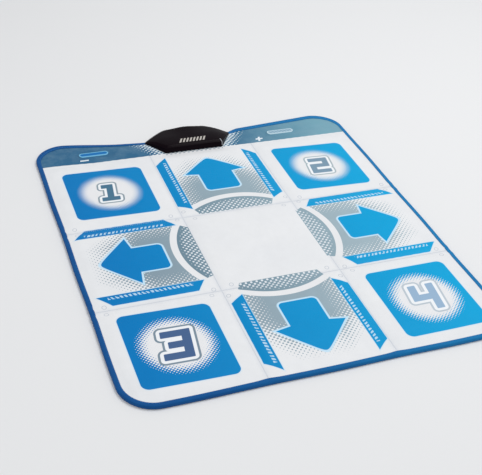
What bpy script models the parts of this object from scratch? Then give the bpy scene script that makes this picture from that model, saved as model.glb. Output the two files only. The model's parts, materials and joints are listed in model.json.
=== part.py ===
"""A soft dance mat controller: nine cells in three rows, eight step pads and a control box.

Units are metres and +Z is up. The origin is the centre of the middle cell, on the face that lies
on the floor. +X is the player's right and +Y runs from the player towards the control box.
The mat is a stack of sheets sewn together inside an edge binding. It bends at the two sewn lines
between its rows, so each row is a stack of its own, and the near row folds over the middle one
before the far row folds over both.
"""

import math

import bmesh
import bpy
from mathutils import Matrix, Vector

# Plan of the mat
PITCH = 0.270            # one cell, sewn line to sewn line
SIDE_MARGIN = 0.005      # cells to the side edges
NEAR_MARGIN = 0.006      # cells to the near edge
HEADER_DEPTH = 0.102     # cells to the far corners; the header strip and the control box are there
EDGE_DIP = 0.030         # how far the far edge comes in towards the control box
DIP_ROUND = 0.060        # radius of that bend
MAT_CORNER = 0.070       # radius of the mat's four corners
GAP = 0.0003             # what two pieces that lie against each other keep between them

# How finely round shapes are drawn
CORNER_SEGMENTS = 8      # arcs of the mat's corners
PAD_SEGMENTS = 4         # arcs of the pads' and switches' corners
BOX_SEGMENTS = 3         # arcs of the control box's corners
POST_SIDES = 16
SCREW_SIDES = 12
GLAND_SIDES = 20
SHARP_ANGLE = math.radians(30)
LEAST_CORNER = 0.0005    # what is left of a corner's radius when its outline is drawn in past it
MERGE = 0.00001
AXIS_SIZE = 0.03         # drawn size of the empties on the joints' axes

# The stack of sheets, from the floor up
BASE_T = 0.0020          # anti-slip base
FILM_T = 0.0004          # each contact film
SPACER_T = 0.0020        # foam that keeps the films apart
COVER_T = 0.0036         # foam-backed printed cover, where it is full
RIM_T = 0.0014           # the same cover where it is sewn flat
RIM_RUN = 0.012          # how far the cover takes to swell from flat to full
SEAM_FLAT = 0.001        # flat strip beside a fold line
CHANNEL_DEPTH = 0.0020   # sewn channel between two cells of a row

# Edge binding, a channel folded round the edge of the stack
BIND_WALL = 0.0012
BIND_FLANGE_T = 0.0009
BIND_WIDTH = 0.0100
BIND_ROUND = 0.0008      # its outer corners

# Step pads and header switches
PAD_SIDE = 0.192
PAD_CORNER = 0.018
PAD_EDGE = 0.0008        # bevel round a pad's top
PAD_CROWN = 0.0004       # how far its middle stands proud
CROWN_RUN = 0.030
CONTACT_INSET = 0.006    # printed contact, inside the pad's outline
PILL_LENGTH = 0.073
PILL_WIDTH = 0.0136
PILL_IN = 0.020          # header switches, from a corner cell's middle towards the control box
PILL_DOWN = 0.057        # from the mat's far corners
PILL_CONTACT_INSET = 0.002

# Control box
HEADER_X = -0.018        # its middle, which lies left of the mat's
BOX_OVERHANG = 0.001     # past the mat's far corners
BOX_DEPTH = 0.097
BOX_TIP_BACK = 0.038     # rear edge to the two widest points
BOX_FRONT_HALF = 0.076
BOX_TIP_HALF = 0.115
BOX_REAR_LAP = 0.004     # rear corners past the notch's sides
BOX_HEIGHT = 0.0185      # above the mat
BOX_WALL = 0.0020
BOX_CORNER = 0.004
BOX_DRAFT = 0.0015       # lean of its sides
BOX_SHOULDER = 0.0045    # height of the rounded shoulder under the roof
BOX_SHOULDER_IN = 0.0060
SHOULDER_BULGE = 0.3     # how far the shoulder's middle stands off a straight chamfer, as a share

NOTCH_HALF = 0.052       # cut-out in the mat's far edge, where the lower shell sits
NOTCH_DEPTH = 0.078      # from the far corners' line
TRAY_WALL = 0.0018
TRAY_CORNER = 0.003
TAIL_SLOT_DEPTH = 0.010  # how far the tail starts inside the mat

POST_SIDE = 0.0058       # case screws, from the notch's sides
POST_FRONT = 0.0058      # from the notch's front edge
POST_REAR = 0.0085       # from the box's rear edge
POST_R = 0.0042
BOSS_R = 0.0036
SHANK_R = 0.0013
HEAD_R = 0.0026
HEAD_T = 0.0018
HEAD_RIM = 0.6           # height of a screw head's straight rim, as a share of the head
HEAD_TOP = 0.7           # width of a screw head's flat top, as a share of the head
TIP_FLAT = 0.6           # width of a screw's flat tip, as a share of the shank
SCREW_ROOF_GAP = 0.0060  # case screws' tips to the roof
BOARD_T = 0.0016
BOARD_FRONT_GAP = 0.0087  # notch to the board's front edge
BOARD_REAR_GAP = 0.0148  # board's rear edge to the box's rear edge
BOARD_SIDE_GAP = 0.0035  # board to the posts
CLAMP_EDGE = 0.0045      # clamp screws, which press the tail on the board, from the board's sides
CLAMP_BACK = 0.0155      # and from the notch's front edge
CLAMP_TIP_GAP = 0.0027   # clamp screws' tips to the tray's floor
CLAMP_BAR_DEPTH = 0.0090
CLAMP_BAR_T = 0.0030
TAIL_SIDE_GAP = 0.0009   # tail to the bosses of the clamp screws
STRIP_T = 0.0016
STRIP_DEPTH = 0.0050
BLOB_R = 0.0090
BLOB_T = 0.0026
GLAND_BORE = 0.0024      # cord inlet
GLAND_NECK = 0.0040
GLAND_FLANGE = 0.0062
GLAND_FLANGE_T = 0.0015
GLAND_RIM = 0.7          # height of the flange's straight rim, as a share of the flange
GLAND_FACE = 0.85        # width of the flange's flat face, as a share of the flange

# What follows from those sizes
SIDE_X = 1.5 * PITCH + SIDE_MARGIN
NEAR_Y = -(1.5 * PITCH + NEAR_MARGIN)
FAR_Y = 1.5 * PITCH + HEADER_DEPTH
DIP_Y = FAR_Y - EDGE_DIP
SEAM_Y = 0.5 * PITCH
STACK_INSET = BIND_WALL + GAP
REBATE_T = BIND_FLANGE_T + GAP

LOWER_FILM_Z = BASE_T + GAP
SPACER_Z = LOWER_FILM_Z + FILM_T + GAP
UPPER_FILM_Z = SPACER_Z + SPACER_T + GAP
COVER_Z = UPPER_FILM_Z + FILM_T + GAP
MAT_TOP = COVER_Z + COVER_T
BIND_TOP = COVER_Z + RIM_T + GAP + BIND_FLANGE_T
TRAVEL = UPPER_FILM_Z - (LOWER_FILM_Z + FILM_T) - GAP

FOLDED_FACES = 0.0008                                   # between two rows folded face to face
NEAR_FOLD_Z = MAT_TOP + PAD_CROWN + FOLDED_FACES / 2
FOLDED_NEAR_TOP = 2 * NEAR_FOLD_Z
FAR_FOLD_Z = (FOLDED_NEAR_TOP + MAT_TOP + PAD_CROWN) / 2 + FOLDED_FACES

PILL_APART = PITCH - PILL_IN
PILL_Y = FAR_Y - PILL_DOWN

BOX_REAR_Y = FAR_Y + BOX_OVERHANG
BOX_FRONT_Y = BOX_REAR_Y - BOX_DEPTH
NOTCH_FRONT_Y = FAR_Y - NOTCH_DEPTH
BOX_RIM_Z = MAT_TOP + GAP
BOX_TOP_Z = MAT_TOP + BOX_HEIGHT
BOX_REAR_HALF = NOTCH_HALF + BOX_REAR_LAP
ROOF_Z = BOX_TOP_Z - BOX_WALL
TRAY_TOP_Z = BOX_RIM_Z - GAP
BOARD_Z = TRAY_TOP_Z + 2 * GAP
BOARD_TOP_Z = BOARD_Z + BOARD_T
BOARD_FRONT_Y = NOTCH_FRONT_Y + BOARD_FRONT_GAP
BOARD_BACK_Y = BOX_REAR_Y - BOARD_REAR_GAP
POST_X = NOTCH_HALF - POST_SIDE
BOARD_HALF = POST_X - POST_R - BOARD_SIDE_GAP
CLAMP_X = BOARD_HALF - CLAMP_EDGE
TAIL_HALF = CLAMP_X - BOSS_R - TAIL_SIDE_GAP
TAIL_Z = BOARD_TOP_Z + GAP
STRIP_Z = TAIL_Z + FILM_T + GAP
CLAMP_BAR_Z = STRIP_Z + STRIP_T + GAP
CLAMP_HEAD_Z = CLAMP_BAR_Z + CLAMP_BAR_T + GAP
CLAMP_SCREW_LENGTH = CLAMP_HEAD_Z - CLAMP_TIP_GAP - TRAY_WALL
CLAMP_Y = NOTCH_FRONT_Y + CLAMP_BACK
HEAD_SEAT_Z = GAP + HEAD_T
SCREW_LENGTH = ROOF_Z - SCREW_ROOF_GAP - HEAD_SEAT_Z
HOLE_R = SHANK_R + GAP
GLAND_Z = MAT_TOP + (BOX_HEIGHT - BOX_SHOULDER) / 2
HEADER_AT = (HEADER_X, 0.0, 0.0)                         # where the box's pieces are placed
DIP_LEFT = (HEADER_X - BOX_TIP_HALF, DIP_Y, DIP_ROUND)   # the far edge's two inward bends
DIP_RIGHT = (HEADER_X + BOX_TIP_HALF, DIP_Y, DIP_ROUND)
TO_BACK = Matrix.Rotation(-math.pi / 2, 3, "X")          # turns +Z to +Y
POST_PLACES = [
    (side * POST_X, y)
    for side in (-1, 1)
    for y in (NOTCH_FRONT_Y + POST_FRONT, BOX_REAR_Y - POST_REAR)
]

COLOURS = {
    # finish: (red, green, blue, roughness, metallic)
    "printed_cover": (0.80, 0.81, 0.82, 0.45, 0.0),
    "pad_blue": (0.02, 0.32, 0.62, 0.42, 0.0),
    "edge_binding": (0.03, 0.16, 0.42, 0.60, 0.0),
    "contact_film": (0.62, 0.66, 0.66, 0.30, 0.0),
    "printed_contact": (0.05, 0.05, 0.05, 0.55, 0.0),
    "spacer_foam": (0.70, 0.70, 0.66, 0.90, 0.0),
    "anti_slip_base": (0.06, 0.06, 0.07, 0.85, 0.0),
    "box_plastic": (0.012, 0.008, 0.014, 0.28, 0.0),
    "circuit_board": (0.02, 0.16, 0.07, 0.45, 0.0),
    "chip_resin": (0.01, 0.01, 0.01, 0.35, 0.0),
    "clamp_plastic": (0.55, 0.54, 0.50, 0.50, 0.0),
    "silicone": (0.35, 0.36, 0.37, 0.60, 0.0),
    "grommet_rubber": (0.02, 0.02, 0.02, 0.70, 0.0),
    "steel": (0.60, 0.60, 0.62, 0.30, 1.0),
}


def finish_material(name):
    """The plain material of one finish, made once."""
    found = bpy.data.materials.get(name)
    if found:
        return found
    red, green, blue, roughness, metallic = COLOURS[name]
    material = bpy.data.materials.new(name)
    material.use_nodes = True
    shader = material.node_tree.nodes["Principled BSDF"]
    shader.inputs["Base Color"].default_value = (red, green, blue, 1.0)
    shader.inputs["Roughness"].default_value = roughness
    shader.inputs["Metallic"].default_value = metallic
    material.diffuse_color = (red, green, blue, 1.0)
    return material


def add_object(name, bm, finish, at=(0.0, 0.0, 0.0), parent=None):
    """Puts a finished bmesh into the scene with its origin at a point of the world."""
    bmesh.ops.recalc_face_normals(bm, faces=bm.faces)
    mesh = bpy.data.meshes.new(name)
    bm.to_mesh(mesh)
    bm.free()
    mesh.shade_smooth()
    mesh.set_sharp_from_angle(angle=SHARP_ANGLE)
    mesh.materials.append(finish_material(finish))
    made = bpy.data.objects.new(name, mesh)
    bpy.context.scene.collection.objects.link(made)
    place(made, at, parent)
    return made


def place(made, at, parent):
    """Sets an object's place in the world, under an unturned parent."""
    made.parent = parent
    made.location = Vector(at) - (parent.matrix_world.translation if parent else Vector())
    bpy.context.view_layer.update()


def add_axis(name, at, parent=None):
    """An empty on a joint's axis, which carries the pieces of one moving body."""
    empty = bpy.data.objects.new(name, None)
    empty.empty_display_size = AXIS_SIZE
    bpy.context.scene.collection.objects.link(empty)
    place(empty, at, parent)
    return empty


def cut(made, bm, operation="DIFFERENCE"):
    """Cuts a bmesh, given in the object's own coordinates, out of it, or joins it on."""
    cutter = add_object(f"{made.name}.tool{len(made.modifiers)}", bm, made.material_slots[0].name)
    cutter.parent = made
    cutter.location = (0.0, 0.0, 0.0)
    cutter.hide_render = True
    cutter.display_type = "WIRE"
    boolean = made.modifiers.new(operation.lower(), "BOOLEAN")
    boolean.operation = operation
    boolean.object = cutter
    boolean.solver = "EXACT"
    return made


def offset_corners(corners, insets, closed=True):
    """Moves each edge of an anticlockwise outline inwards.

    corners are (x, y, radius), and edge i leaves corner i.
    """
    count = len(corners)
    lines = []
    for i in range(count if closed else count - 1):
        start = Vector(corners[i][:2])
        along = (Vector(corners[(i + 1) % count][:2]) - start).normalized()
        inward = Vector((-along.y, along.x))
        lines.append((start + inward * insets[i], along, inward))
    moved = []
    for i, (x, y, radius) in enumerate(corners):
        if closed or 0 < i < count - 1:
            before, after = lines[i - 1], lines[i % len(lines)]
            turn = before[1].cross(after[1])
            reach = (after[0] - before[0]).cross(after[1]) / turn
            point = before[0] + before[1] * reach
            rounding = 0.0
            if radius:
                rounding = max(radius - max(insets[i - 1], insets[i % len(lines)]), LEAST_CORNER)
        else:
            line = lines[0] if i == 0 else lines[-1]
            inset = insets[0] if i == 0 else insets[-1]
            point = Vector((x, y)) + line[2] * inset
            rounding = 0.0
        moved.append((point.x, point.y, rounding))
    return moved


def round_corners(corners, segments=CORNER_SEGMENTS, closed=True):
    """The outline's points, with an arc at each corner that has a radius."""
    points, count = [], len(corners)
    for i, (x, y, radius) in enumerate(corners):
        corner = Vector((x, y))
        if not radius:
            points.append(corner)
            continue
        to_before = (Vector(corners[i - 1][:2]) - corner).normalized()
        to_after = (Vector(corners[(i + 1) % count][:2]) - corner).normalized()
        half = to_before.angle(to_after) / 2
        centre = corner + (to_before + to_after).normalized() * (radius / math.sin(half))
        first = corner + to_before * (radius / math.tan(half)) - centre
        sweep = math.pi - 2 * half
        turn = 1 if to_after.cross(to_before) > 0 else -1
        for step in range(segments + 1):
            angle = turn * sweep * step / segments
            points.append(centre + Vector((
                first.x * math.cos(angle) - first.y * math.sin(angle),
                first.x * math.sin(angle) + first.y * math.cos(angle))))
    return points


def skin(bm, below, above):
    """The side faces between two loops of the same number of vertices."""
    for i in range(len(below)):
        bm.faces.new((below[i - 1], below[i], above[i], above[i - 1]))


def loft(levels, segments=CORNER_SEGMENTS):
    """A closed solid through outlines at rising heights. levels are (corners, z)."""
    bm = bmesh.new()
    rings = []
    for corners, z in levels:
        rings.append([bm.verts.new((p.x, p.y, z)) for p in round_corners(corners, segments)])
    for below, above in zip(rings, rings[1:]):
        skin(bm, below, above)
    bm.faces.new(rings[0])
    bm.faces.new(rings[-1])
    return bm


def prism(corners, low, high, segments=CORNER_SEGMENTS):
    """A straight-sided solid on one outline."""
    return loft([(corners, low), (corners, high)], segments)


def box_solid(low, high):
    """A rectangular solid between two opposite corners."""
    corners = rectangle(low[0], high[0], low[1], high[1])
    return prism(corners, low[2], high[2])


def rectangle(x0, x1, y0, y1, radius=0.0):
    """The corners of a rectangle, anticlockwise."""
    return [(x0, y0, radius), (x1, y0, radius), (x1, y1, radius), (x0, y1, radius)]


def centred(half_x, half_y, radius, x=0.0, y=0.0):
    """The corners of a rectangle about a point."""
    return rectangle(x - half_x, x + half_x, y - half_y, y + half_y, radius)


def cylinder(radius, low, high, x=0.0, y=0.0, sides=POST_SIDES):
    """An upright cylinder."""
    bm = bmesh.new()
    bmesh.ops.create_cone(bm, cap_ends=True, segments=sides, radius1=radius, radius2=radius, depth=high - low)
    bmesh.ops.translate(bm, vec=(x, y, (low + high) / 2), verts=bm.verts)
    return bm


def turned(profile, sides):
    """A solid of revolution about Z.

    profile is a closed loop of (radius, z), or an open one that ends on the axis.
    """
    bm = bmesh.new()
    vertices = [bm.verts.new((radius, 0.0, z)) for radius, z in profile]
    edges = [bm.edges.new(pair) for pair in zip(vertices, vertices[1:])]
    if min(radius for radius, _ in profile) > 0:
        edges.append(bm.edges.new((vertices[-1], vertices[0])))
    bmesh.ops.spin(bm, geom=vertices + edges, cent=(0, 0, 0), axis=(0, 0, 1), angle=math.tau, steps=sides,
                   use_merge=True)
    bmesh.ops.remove_doubles(bm, verts=bm.verts, dist=MERGE)
    return bm


class Row:
    """The plan of one row: its corners, and which of its edges lie on a fold line."""

    def __init__(self, name, corners, folds):
        self.name, self.corners, self.folds = name, corners, folds

    def outline(self, outer, fold=GAP / 2):
        """Its corners, drawn in by one distance at the mat's edges and by another at the fold lines."""
        insets = [fold if i in self.folds else outer for i in range(len(self.corners))]
        return offset_corners(self.corners, insets)


ROWS = [
    Row("near", [(-SIDE_X, NEAR_Y, MAT_CORNER), (SIDE_X, NEAR_Y, MAT_CORNER),
                 (SIDE_X, -SEAM_Y, 0.0), (-SIDE_X, -SEAM_Y, 0.0)], folds=(2,)),
    Row("middle", [(-SIDE_X, -SEAM_Y, 0.0), (SIDE_X, -SEAM_Y, 0.0),
                   (SIDE_X, SEAM_Y, 0.0), (-SIDE_X, SEAM_Y, 0.0)], folds=(0, 2)),
    Row("far", [(-SIDE_X, SEAM_Y, 0.0), (SIDE_X, SEAM_Y, 0.0), (SIDE_X, FAR_Y, MAT_CORNER),
                DIP_RIGHT, DIP_LEFT, (-SIDE_X, FAR_Y, MAT_CORNER)], folds=(0,)),
]

# Each step pad's name, its cell and its row; the middle cell has none
PADS = [
    ("near_left", (-1, -1), "near"), ("near", (0, -1), "near"), ("near_right", (1, -1), "near"),
    ("left", (-1, 0), "middle"), ("right", (1, 0), "middle"),
    ("far_left", (-1, 1), "far"), ("far", (0, 1), "far"), ("far_right", (1, 1), "far"),
]
PILLS = [("minus", HEADER_X - PILL_APART), ("plus", HEADER_X + PILL_APART)]


def pad_outline(inset, x=0.0, y=0.0):
    """A step pad's outline, drawn in, or grown where inset is negative."""
    half = PAD_SIDE / 2 - inset
    return centred(half, half, max(PAD_CORNER - inset, GAP), x, y)


def pill_outline(inset, x=0.0, y=0.0):
    """A header switch's outline, with round ends."""
    half_x, half_y = PILL_LENGTH / 2 - inset, PILL_WIDTH / 2 - inset
    return centred(half_x, half_y, half_y - GAP, x, y)


def cut_windows(sheet, row, low, high):
    """Opens a sheet over each switch of its row, so that the pads can sink."""
    for _, cell, on_row in PADS:
        if on_row == row.name:
            cut(sheet, prism(pad_outline(-GAP, cell[0] * PITCH, cell[1] * PITCH), low, high, PAD_SEGMENTS))
    if row.name == "far":
        for _, x in PILLS:
            cut(sheet, prism(pill_outline(-GAP, x, PILL_Y), low, high, PAD_SEGMENTS))


def header_block(low, high):
    """A rectangular solid given from the control box's middle line, in the mat's coordinates."""
    bm = box_solid(low, high)
    bmesh.ops.translate(bm, verts=bm.verts, vec=HEADER_AT)
    return bm


def cut_notch(sheet, row):
    """Cuts out of a far sheet the place where the lower shell sits."""
    if row.name == "far":
        cut(sheet, header_block((-NOTCH_HALF, NOTCH_FRONT_Y, -BASE_T), (NOTCH_HALF, BOX_REAR_Y, BOX_TOP_Z)))


def make_base(row, parent):
    """The anti-slip sheet, rebated underneath for the binding's lower flange."""
    foot = row.outline(BIND_WIDTH + GAP, 2 * GAP)
    edge = row.outline(STACK_INSET)
    levels = [(foot, 0.0), (foot, REBATE_T), (edge, REBATE_T), (edge, BASE_T)]
    base = add_object(f"base_{row.name}", loft(levels), "anti_slip_base", parent=parent)
    cut_notch(base, row)


def make_films(row, parent):
    """The lower film, the foam spacer and the upper film."""
    edge = row.outline(STACK_INSET)
    lower = add_object(f"lower_film_{row.name}", prism(edge, LOWER_FILM_Z, LOWER_FILM_Z + FILM_T),
                       "contact_film", parent=parent)
    cut_notch(lower, row)
    spacer = add_object(f"spacer_{row.name}", prism(edge, SPACER_Z, SPACER_Z + SPACER_T),
                        "spacer_foam", parent=parent)
    cut_windows(spacer, row, LOWER_FILM_Z, COVER_Z)
    cut_notch(spacer, row)
    if row.name == "far":
        cut(spacer, header_block((-TAIL_HALF - GAP, NOTCH_FRONT_Y - TAIL_SLOT_DEPTH - GAP, LOWER_FILM_Z),
                                 (TAIL_HALF + GAP, NOTCH_FRONT_Y + GAP, COVER_Z)))
    upper = add_object(f"upper_film_{row.name}", prism(edge, UPPER_FILM_Z, UPPER_FILM_Z + FILM_T),
                       "contact_film", parent=parent)
    cut_windows(upper, row, SPACER_Z, MAT_TOP)
    cut_notch(upper, row)


def make_cover(row, parent):
    """The printed cover: flat where it is sewn, full inside, with a channel between its cells."""
    rim_z = COVER_Z + RIM_T
    edge = row.outline(STACK_INSET)
    rim = row.outline(BIND_WIDTH + GAP, SEAM_FLAT)
    full = row.outline(BIND_WIDTH + GAP + RIM_RUN, SEAM_FLAT + RIM_RUN)
    levels = [(edge, COVER_Z), (edge, rim_z), (rim, rim_z), (full, MAT_TOP)]
    cover = add_object(f"cover_{row.name}", loft(levels), "printed_cover", parent=parent)
    for x in (-SEAM_Y, SEAM_Y):
        cut(cover, channel_cutter(x))
    cut_windows(cover, row, UPPER_FILM_Z, BOX_TOP_Z)
    cut_notch(cover, row)


def channel_cutter(x):
    """A long wedge, point down, that presses one sewn channel into the cover.

    Half of it stands above the cover.
    """
    bm = bmesh.new()
    ends = []
    for y in (NEAR_Y, BOX_FRONT_Y):
        point = bm.verts.new((x, y, MAT_TOP - CHANNEL_DEPTH))
        left = bm.verts.new((x - 2 * RIM_RUN, y, MAT_TOP + CHANNEL_DEPTH))
        right = bm.verts.new((x + 2 * RIM_RUN, y, MAT_TOP + CHANNEL_DEPTH))
        ends.append(bm.faces.new((point, right, left)))
    bmesh.ops.bridge_loops(bm, edges=list(ends[0].edges) + list(ends[1].edges))
    return bm


def binding_profile():
    """The channel's section as (distance in from the mat's edge, height)."""
    return [
        (BIND_ROUND, 0.0), (0.0, BIND_ROUND), (0.0, BIND_TOP - BIND_ROUND), (BIND_ROUND, BIND_TOP),
        (BIND_WIDTH, BIND_TOP), (BIND_WIDTH, BIND_TOP - BIND_FLANGE_T),
        (BIND_WALL, BIND_TOP - BIND_FLANGE_T), (BIND_WALL, BIND_FLANGE_T),
        (BIND_WIDTH, BIND_FLANGE_T), (BIND_WIDTH, 0.0),
    ]


def make_binding(name, path, parent):
    """One length of edge binding, swept along part of the mat's outline."""
    bm = bmesh.new()
    lines = []
    for inset, z in binding_profile():
        corners = offset_corners(path, [inset] * (len(path) - 1), closed=False)
        points = round_corners(corners, closed=False)
        lines.append([bm.verts.new((p.x, p.y, z)) for p in points])
    for a, b in zip(lines, lines[1:] + lines[:1]):
        for i in range(len(a) - 1):
            bm.faces.new((a[i], a[i + 1], b[i + 1], b[i]))
    bm.faces.new([line[0] for line in lines])
    bm.faces.new([line[-1] for line in lines])
    add_object(name, bm, "edge_binding", parent=parent)


def make_bindings(near, middle, far):
    """The binding, in one length for each stretch of edge between the fold lines and the control box."""
    fold = SEAM_Y - GAP / 2
    stop = NOTCH_HALF + GAP
    make_binding("binding_near", [(-SIDE_X, -fold - GAP, 0.0), (-SIDE_X, NEAR_Y, MAT_CORNER),
                                  (SIDE_X, NEAR_Y, MAT_CORNER), (SIDE_X, -fold - GAP, 0.0)], near)
    make_binding("binding_left", [(-SIDE_X, fold, 0.0), (-SIDE_X, -fold, 0.0)], middle)
    make_binding("binding_right", [(SIDE_X, -fold, 0.0), (SIDE_X, fold, 0.0)], middle)
    make_binding("binding_far_left", [(HEADER_X - stop, DIP_Y, 0.0), DIP_LEFT,
                                      (-SIDE_X, FAR_Y, MAT_CORNER), (-SIDE_X, fold + GAP, 0.0)], far)
    make_binding("binding_far_right", [(SIDE_X, fold + GAP, 0.0), (SIDE_X, FAR_Y, MAT_CORNER),
                                       DIP_RIGHT, (HEADER_X + stop, DIP_Y, 0.0)], far)


def make_pad(name, x, y, parent):
    """One step pad and the printed contact under it, which sink together."""
    axis = add_axis(f"axis_pad_{name}", (x, y, 0.0), parent)
    shoulder = MAT_TOP - PAD_EDGE
    panel = loft([(pad_outline(0), COVER_Z), (pad_outline(0), shoulder), (pad_outline(PAD_EDGE), MAT_TOP),
                  (pad_outline(CROWN_RUN), MAT_TOP + PAD_CROWN)], PAD_SEGMENTS)
    add_object(f"pad_{name}", panel, "pad_blue", (x, y, 0.0), axis)
    contact = prism(pad_outline(CONTACT_INSET), UPPER_FILM_Z, UPPER_FILM_Z + FILM_T, PAD_SEGMENTS)
    add_object(f"contact_{name}", contact, "printed_contact", (x, y, 0.0), axis)


def make_pill(name, x, parent):
    """One header switch and its contact."""
    axis = add_axis(f"axis_switch_{name}", (x, PILL_Y, 0.0), parent)
    panel = loft([(pill_outline(0), COVER_Z), (pill_outline(0), MAT_TOP - PAD_EDGE),
                  (pill_outline(PAD_EDGE), MAT_TOP)], PAD_SEGMENTS)
    add_object(f"switch_{name}", panel, "pad_blue", (x, PILL_Y, 0.0), axis)
    contact = prism(pill_outline(PILL_CONTACT_INSET), UPPER_FILM_Z, UPPER_FILM_Z + FILM_T, PAD_SEGMENTS)
    add_object(f"contact_{name}", contact, "printed_contact", (x, PILL_Y, 0.0), axis)


def box_corners(inset):
    """The control box's six corners about its middle line, drawn in."""
    tip_y = BOX_REAR_Y - BOX_TIP_BACK
    corners = [
        (-BOX_FRONT_HALF, BOX_FRONT_Y, BOX_CORNER), (BOX_FRONT_HALF, BOX_FRONT_Y, BOX_CORNER),
        (BOX_TIP_HALF, tip_y, BOX_CORNER), (BOX_REAR_HALF, BOX_REAR_Y, BOX_CORNER),
        (-BOX_REAR_HALF, BOX_REAR_Y, BOX_CORNER), (-BOX_TIP_HALF, tip_y, BOX_CORNER),
    ]
    return offset_corners(corners, [inset] * len(corners))


def make_upper_shell(parent):
    """The control box's cover: six leaning sides, a rounded shoulder, screw bosses and the cord's hole."""
    shoulder = BOX_TOP_Z - BOX_SHOULDER
    mid = (shoulder + BOX_TOP_Z) / 2
    rise, wide = BOX_SHOULDER / 2, BOX_SHOULDER_IN
    outer = [(box_corners(0), BOX_RIM_Z), (box_corners(BOX_DRAFT), shoulder),
             (box_corners(BOX_DRAFT + wide * SHOULDER_BULGE), mid + rise * SHOULDER_BULGE),
             (box_corners(BOX_DRAFT + wide), BOX_TOP_Z)]
    shell = add_object("upper_shell", loft(outer, BOX_SEGMENTS), "box_plastic", HEADER_AT, parent)
    hollow = [(box_corners(BOX_WALL), BOX_RIM_Z - BOX_WALL), (box_corners(BOX_WALL), BOX_RIM_Z),
              (box_corners(BOX_WALL + BOX_DRAFT), shoulder - BOX_WALL),
              (box_corners(BOX_WALL + BOX_DRAFT + wide / 2), ROOF_Z)]
    cut(shell, loft(hollow, BOX_SEGMENTS))
    hole_end = HEAD_SEAT_Z + SCREW_LENGTH + 3 * GAP
    for x, y in POST_PLACES:
        cut(shell, cylinder(BOSS_R, BOX_RIM_Z, ROOF_Z + BOX_WALL / 2, x, y), "UNION")
        cut(shell, cylinder(HOLE_R, BOX_RIM_Z - BOX_WALL, hole_end, x, y, SCREW_SIDES))
    reach = 3 * BOX_WALL
    hole = cylinder(GLAND_NECK + GAP, -reach, reach, sides=GLAND_SIDES)
    bmesh.ops.rotate(hole, verts=hole.verts, cent=(0, 0, 0), matrix=TO_BACK)
    bmesh.ops.translate(hole, verts=hole.verts, vec=(0, BOX_REAR_Y, GLAND_Z))
    cut(shell, hole)


def make_lower_shell(parent):
    """The tray that sits in the mat's notch and widens behind the mat's edge to the box's outline.

    It has posts for the screws and a slot for the tail.
    """
    back = BOX_REAR_Y - GAP
    front = NOTCH_FRONT_Y + GAP
    half = NOTCH_HALF - GAP
    wing_y = DIP_Y + GAP
    slant = (BOX_TIP_HALF - BOX_REAR_HALF) / BOX_TIP_BACK
    rear_half = BOX_REAR_HALF - BOX_CORNER / 2
    wing_half = rear_half + (back - wing_y) * slant
    outer = [(-half, front, TRAY_CORNER), (half, front, TRAY_CORNER), (half, wing_y, 0.0),
             (wing_half, wing_y, TRAY_CORNER), (rear_half, back, TRAY_CORNER),
             (-rear_half, back, TRAY_CORNER), (-wing_half, wing_y, TRAY_CORNER), (-half, wing_y, 0.0)]
    tray = add_object("lower_shell", prism(outer, 0.0, TRAY_TOP_Z, BOX_SEGMENTS), "box_plastic",
                      HEADER_AT, parent)
    inner = rectangle(-half + TRAY_WALL, half - TRAY_WALL, front + TRAY_WALL, back - TRAY_WALL,
                      TRAY_CORNER - TRAY_WALL)
    cut(tray, prism(inner, TRAY_WALL, BOX_RIM_Z + TRAY_WALL, BOX_SEGMENTS))
    slot_z = SPACER_Z + GAP
    cut(tray, box_solid((-TAIL_HALF - GAP, front - TRAY_WALL, slot_z),
                        (TAIL_HALF + GAP, front + 2 * TRAY_WALL, BOX_RIM_Z + TRAY_WALL)))
    for x, y in POST_PLACES:
        cut(tray, cylinder(POST_R, TRAY_WALL / 2, TRAY_TOP_Z - GAP, x, y), "UNION")
    for x in (-CLAMP_X, CLAMP_X):
        cut(tray, cylinder(BOSS_R, TRAY_WALL / 2, BOARD_Z - GAP, x, CLAMP_Y), "UNION")
        cut(tray, cylinder(BOSS_R, TRAY_WALL / 2, BOARD_Z - GAP, x, BOARD_BACK_Y - BOSS_R), "UNION")
    recess_z = HEAD_SEAT_Z + GAP
    for x, y in POST_PLACES:
        hole = turned([(0.0, -TRAY_WALL), (HEAD_R + GAP, -TRAY_WALL), (HEAD_R + GAP, recess_z),
                       (HOLE_R, recess_z), (HOLE_R, BOX_TOP_Z), (0.0, BOX_TOP_Z)], SCREW_SIDES)
        bmesh.ops.translate(hole, verts=hole.verts, vec=(x, y, 0))
        cut(tray, hole)
    for x in (-CLAMP_X, CLAMP_X):
        cut(tray, cylinder(HOLE_R, TRAY_WALL + CLAMP_TIP_GAP - GAP, BOX_TOP_Z, x, CLAMP_Y, SCREW_SIDES))


def make_screw(name, length, x, y, z, parent, head_up):
    """A pan-head screw, its origin under its head. x is from the control box's middle line."""
    turn = 1 if head_up else -1
    profile = [(0.0, -turn * length), (SHANK_R * TIP_FLAT, -turn * length),
               (SHANK_R, -turn * (length - SHANK_R)), (SHANK_R, 0.0), (HEAD_R, 0.0),
               (HEAD_R, turn * HEAD_T * HEAD_RIM),
               (HEAD_R * HEAD_TOP, turn * HEAD_T), (0.0, turn * HEAD_T)]
    add_object(name, turned(profile, SCREW_SIDES), "steel", (HEADER_X + x, y, z), parent)


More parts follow.
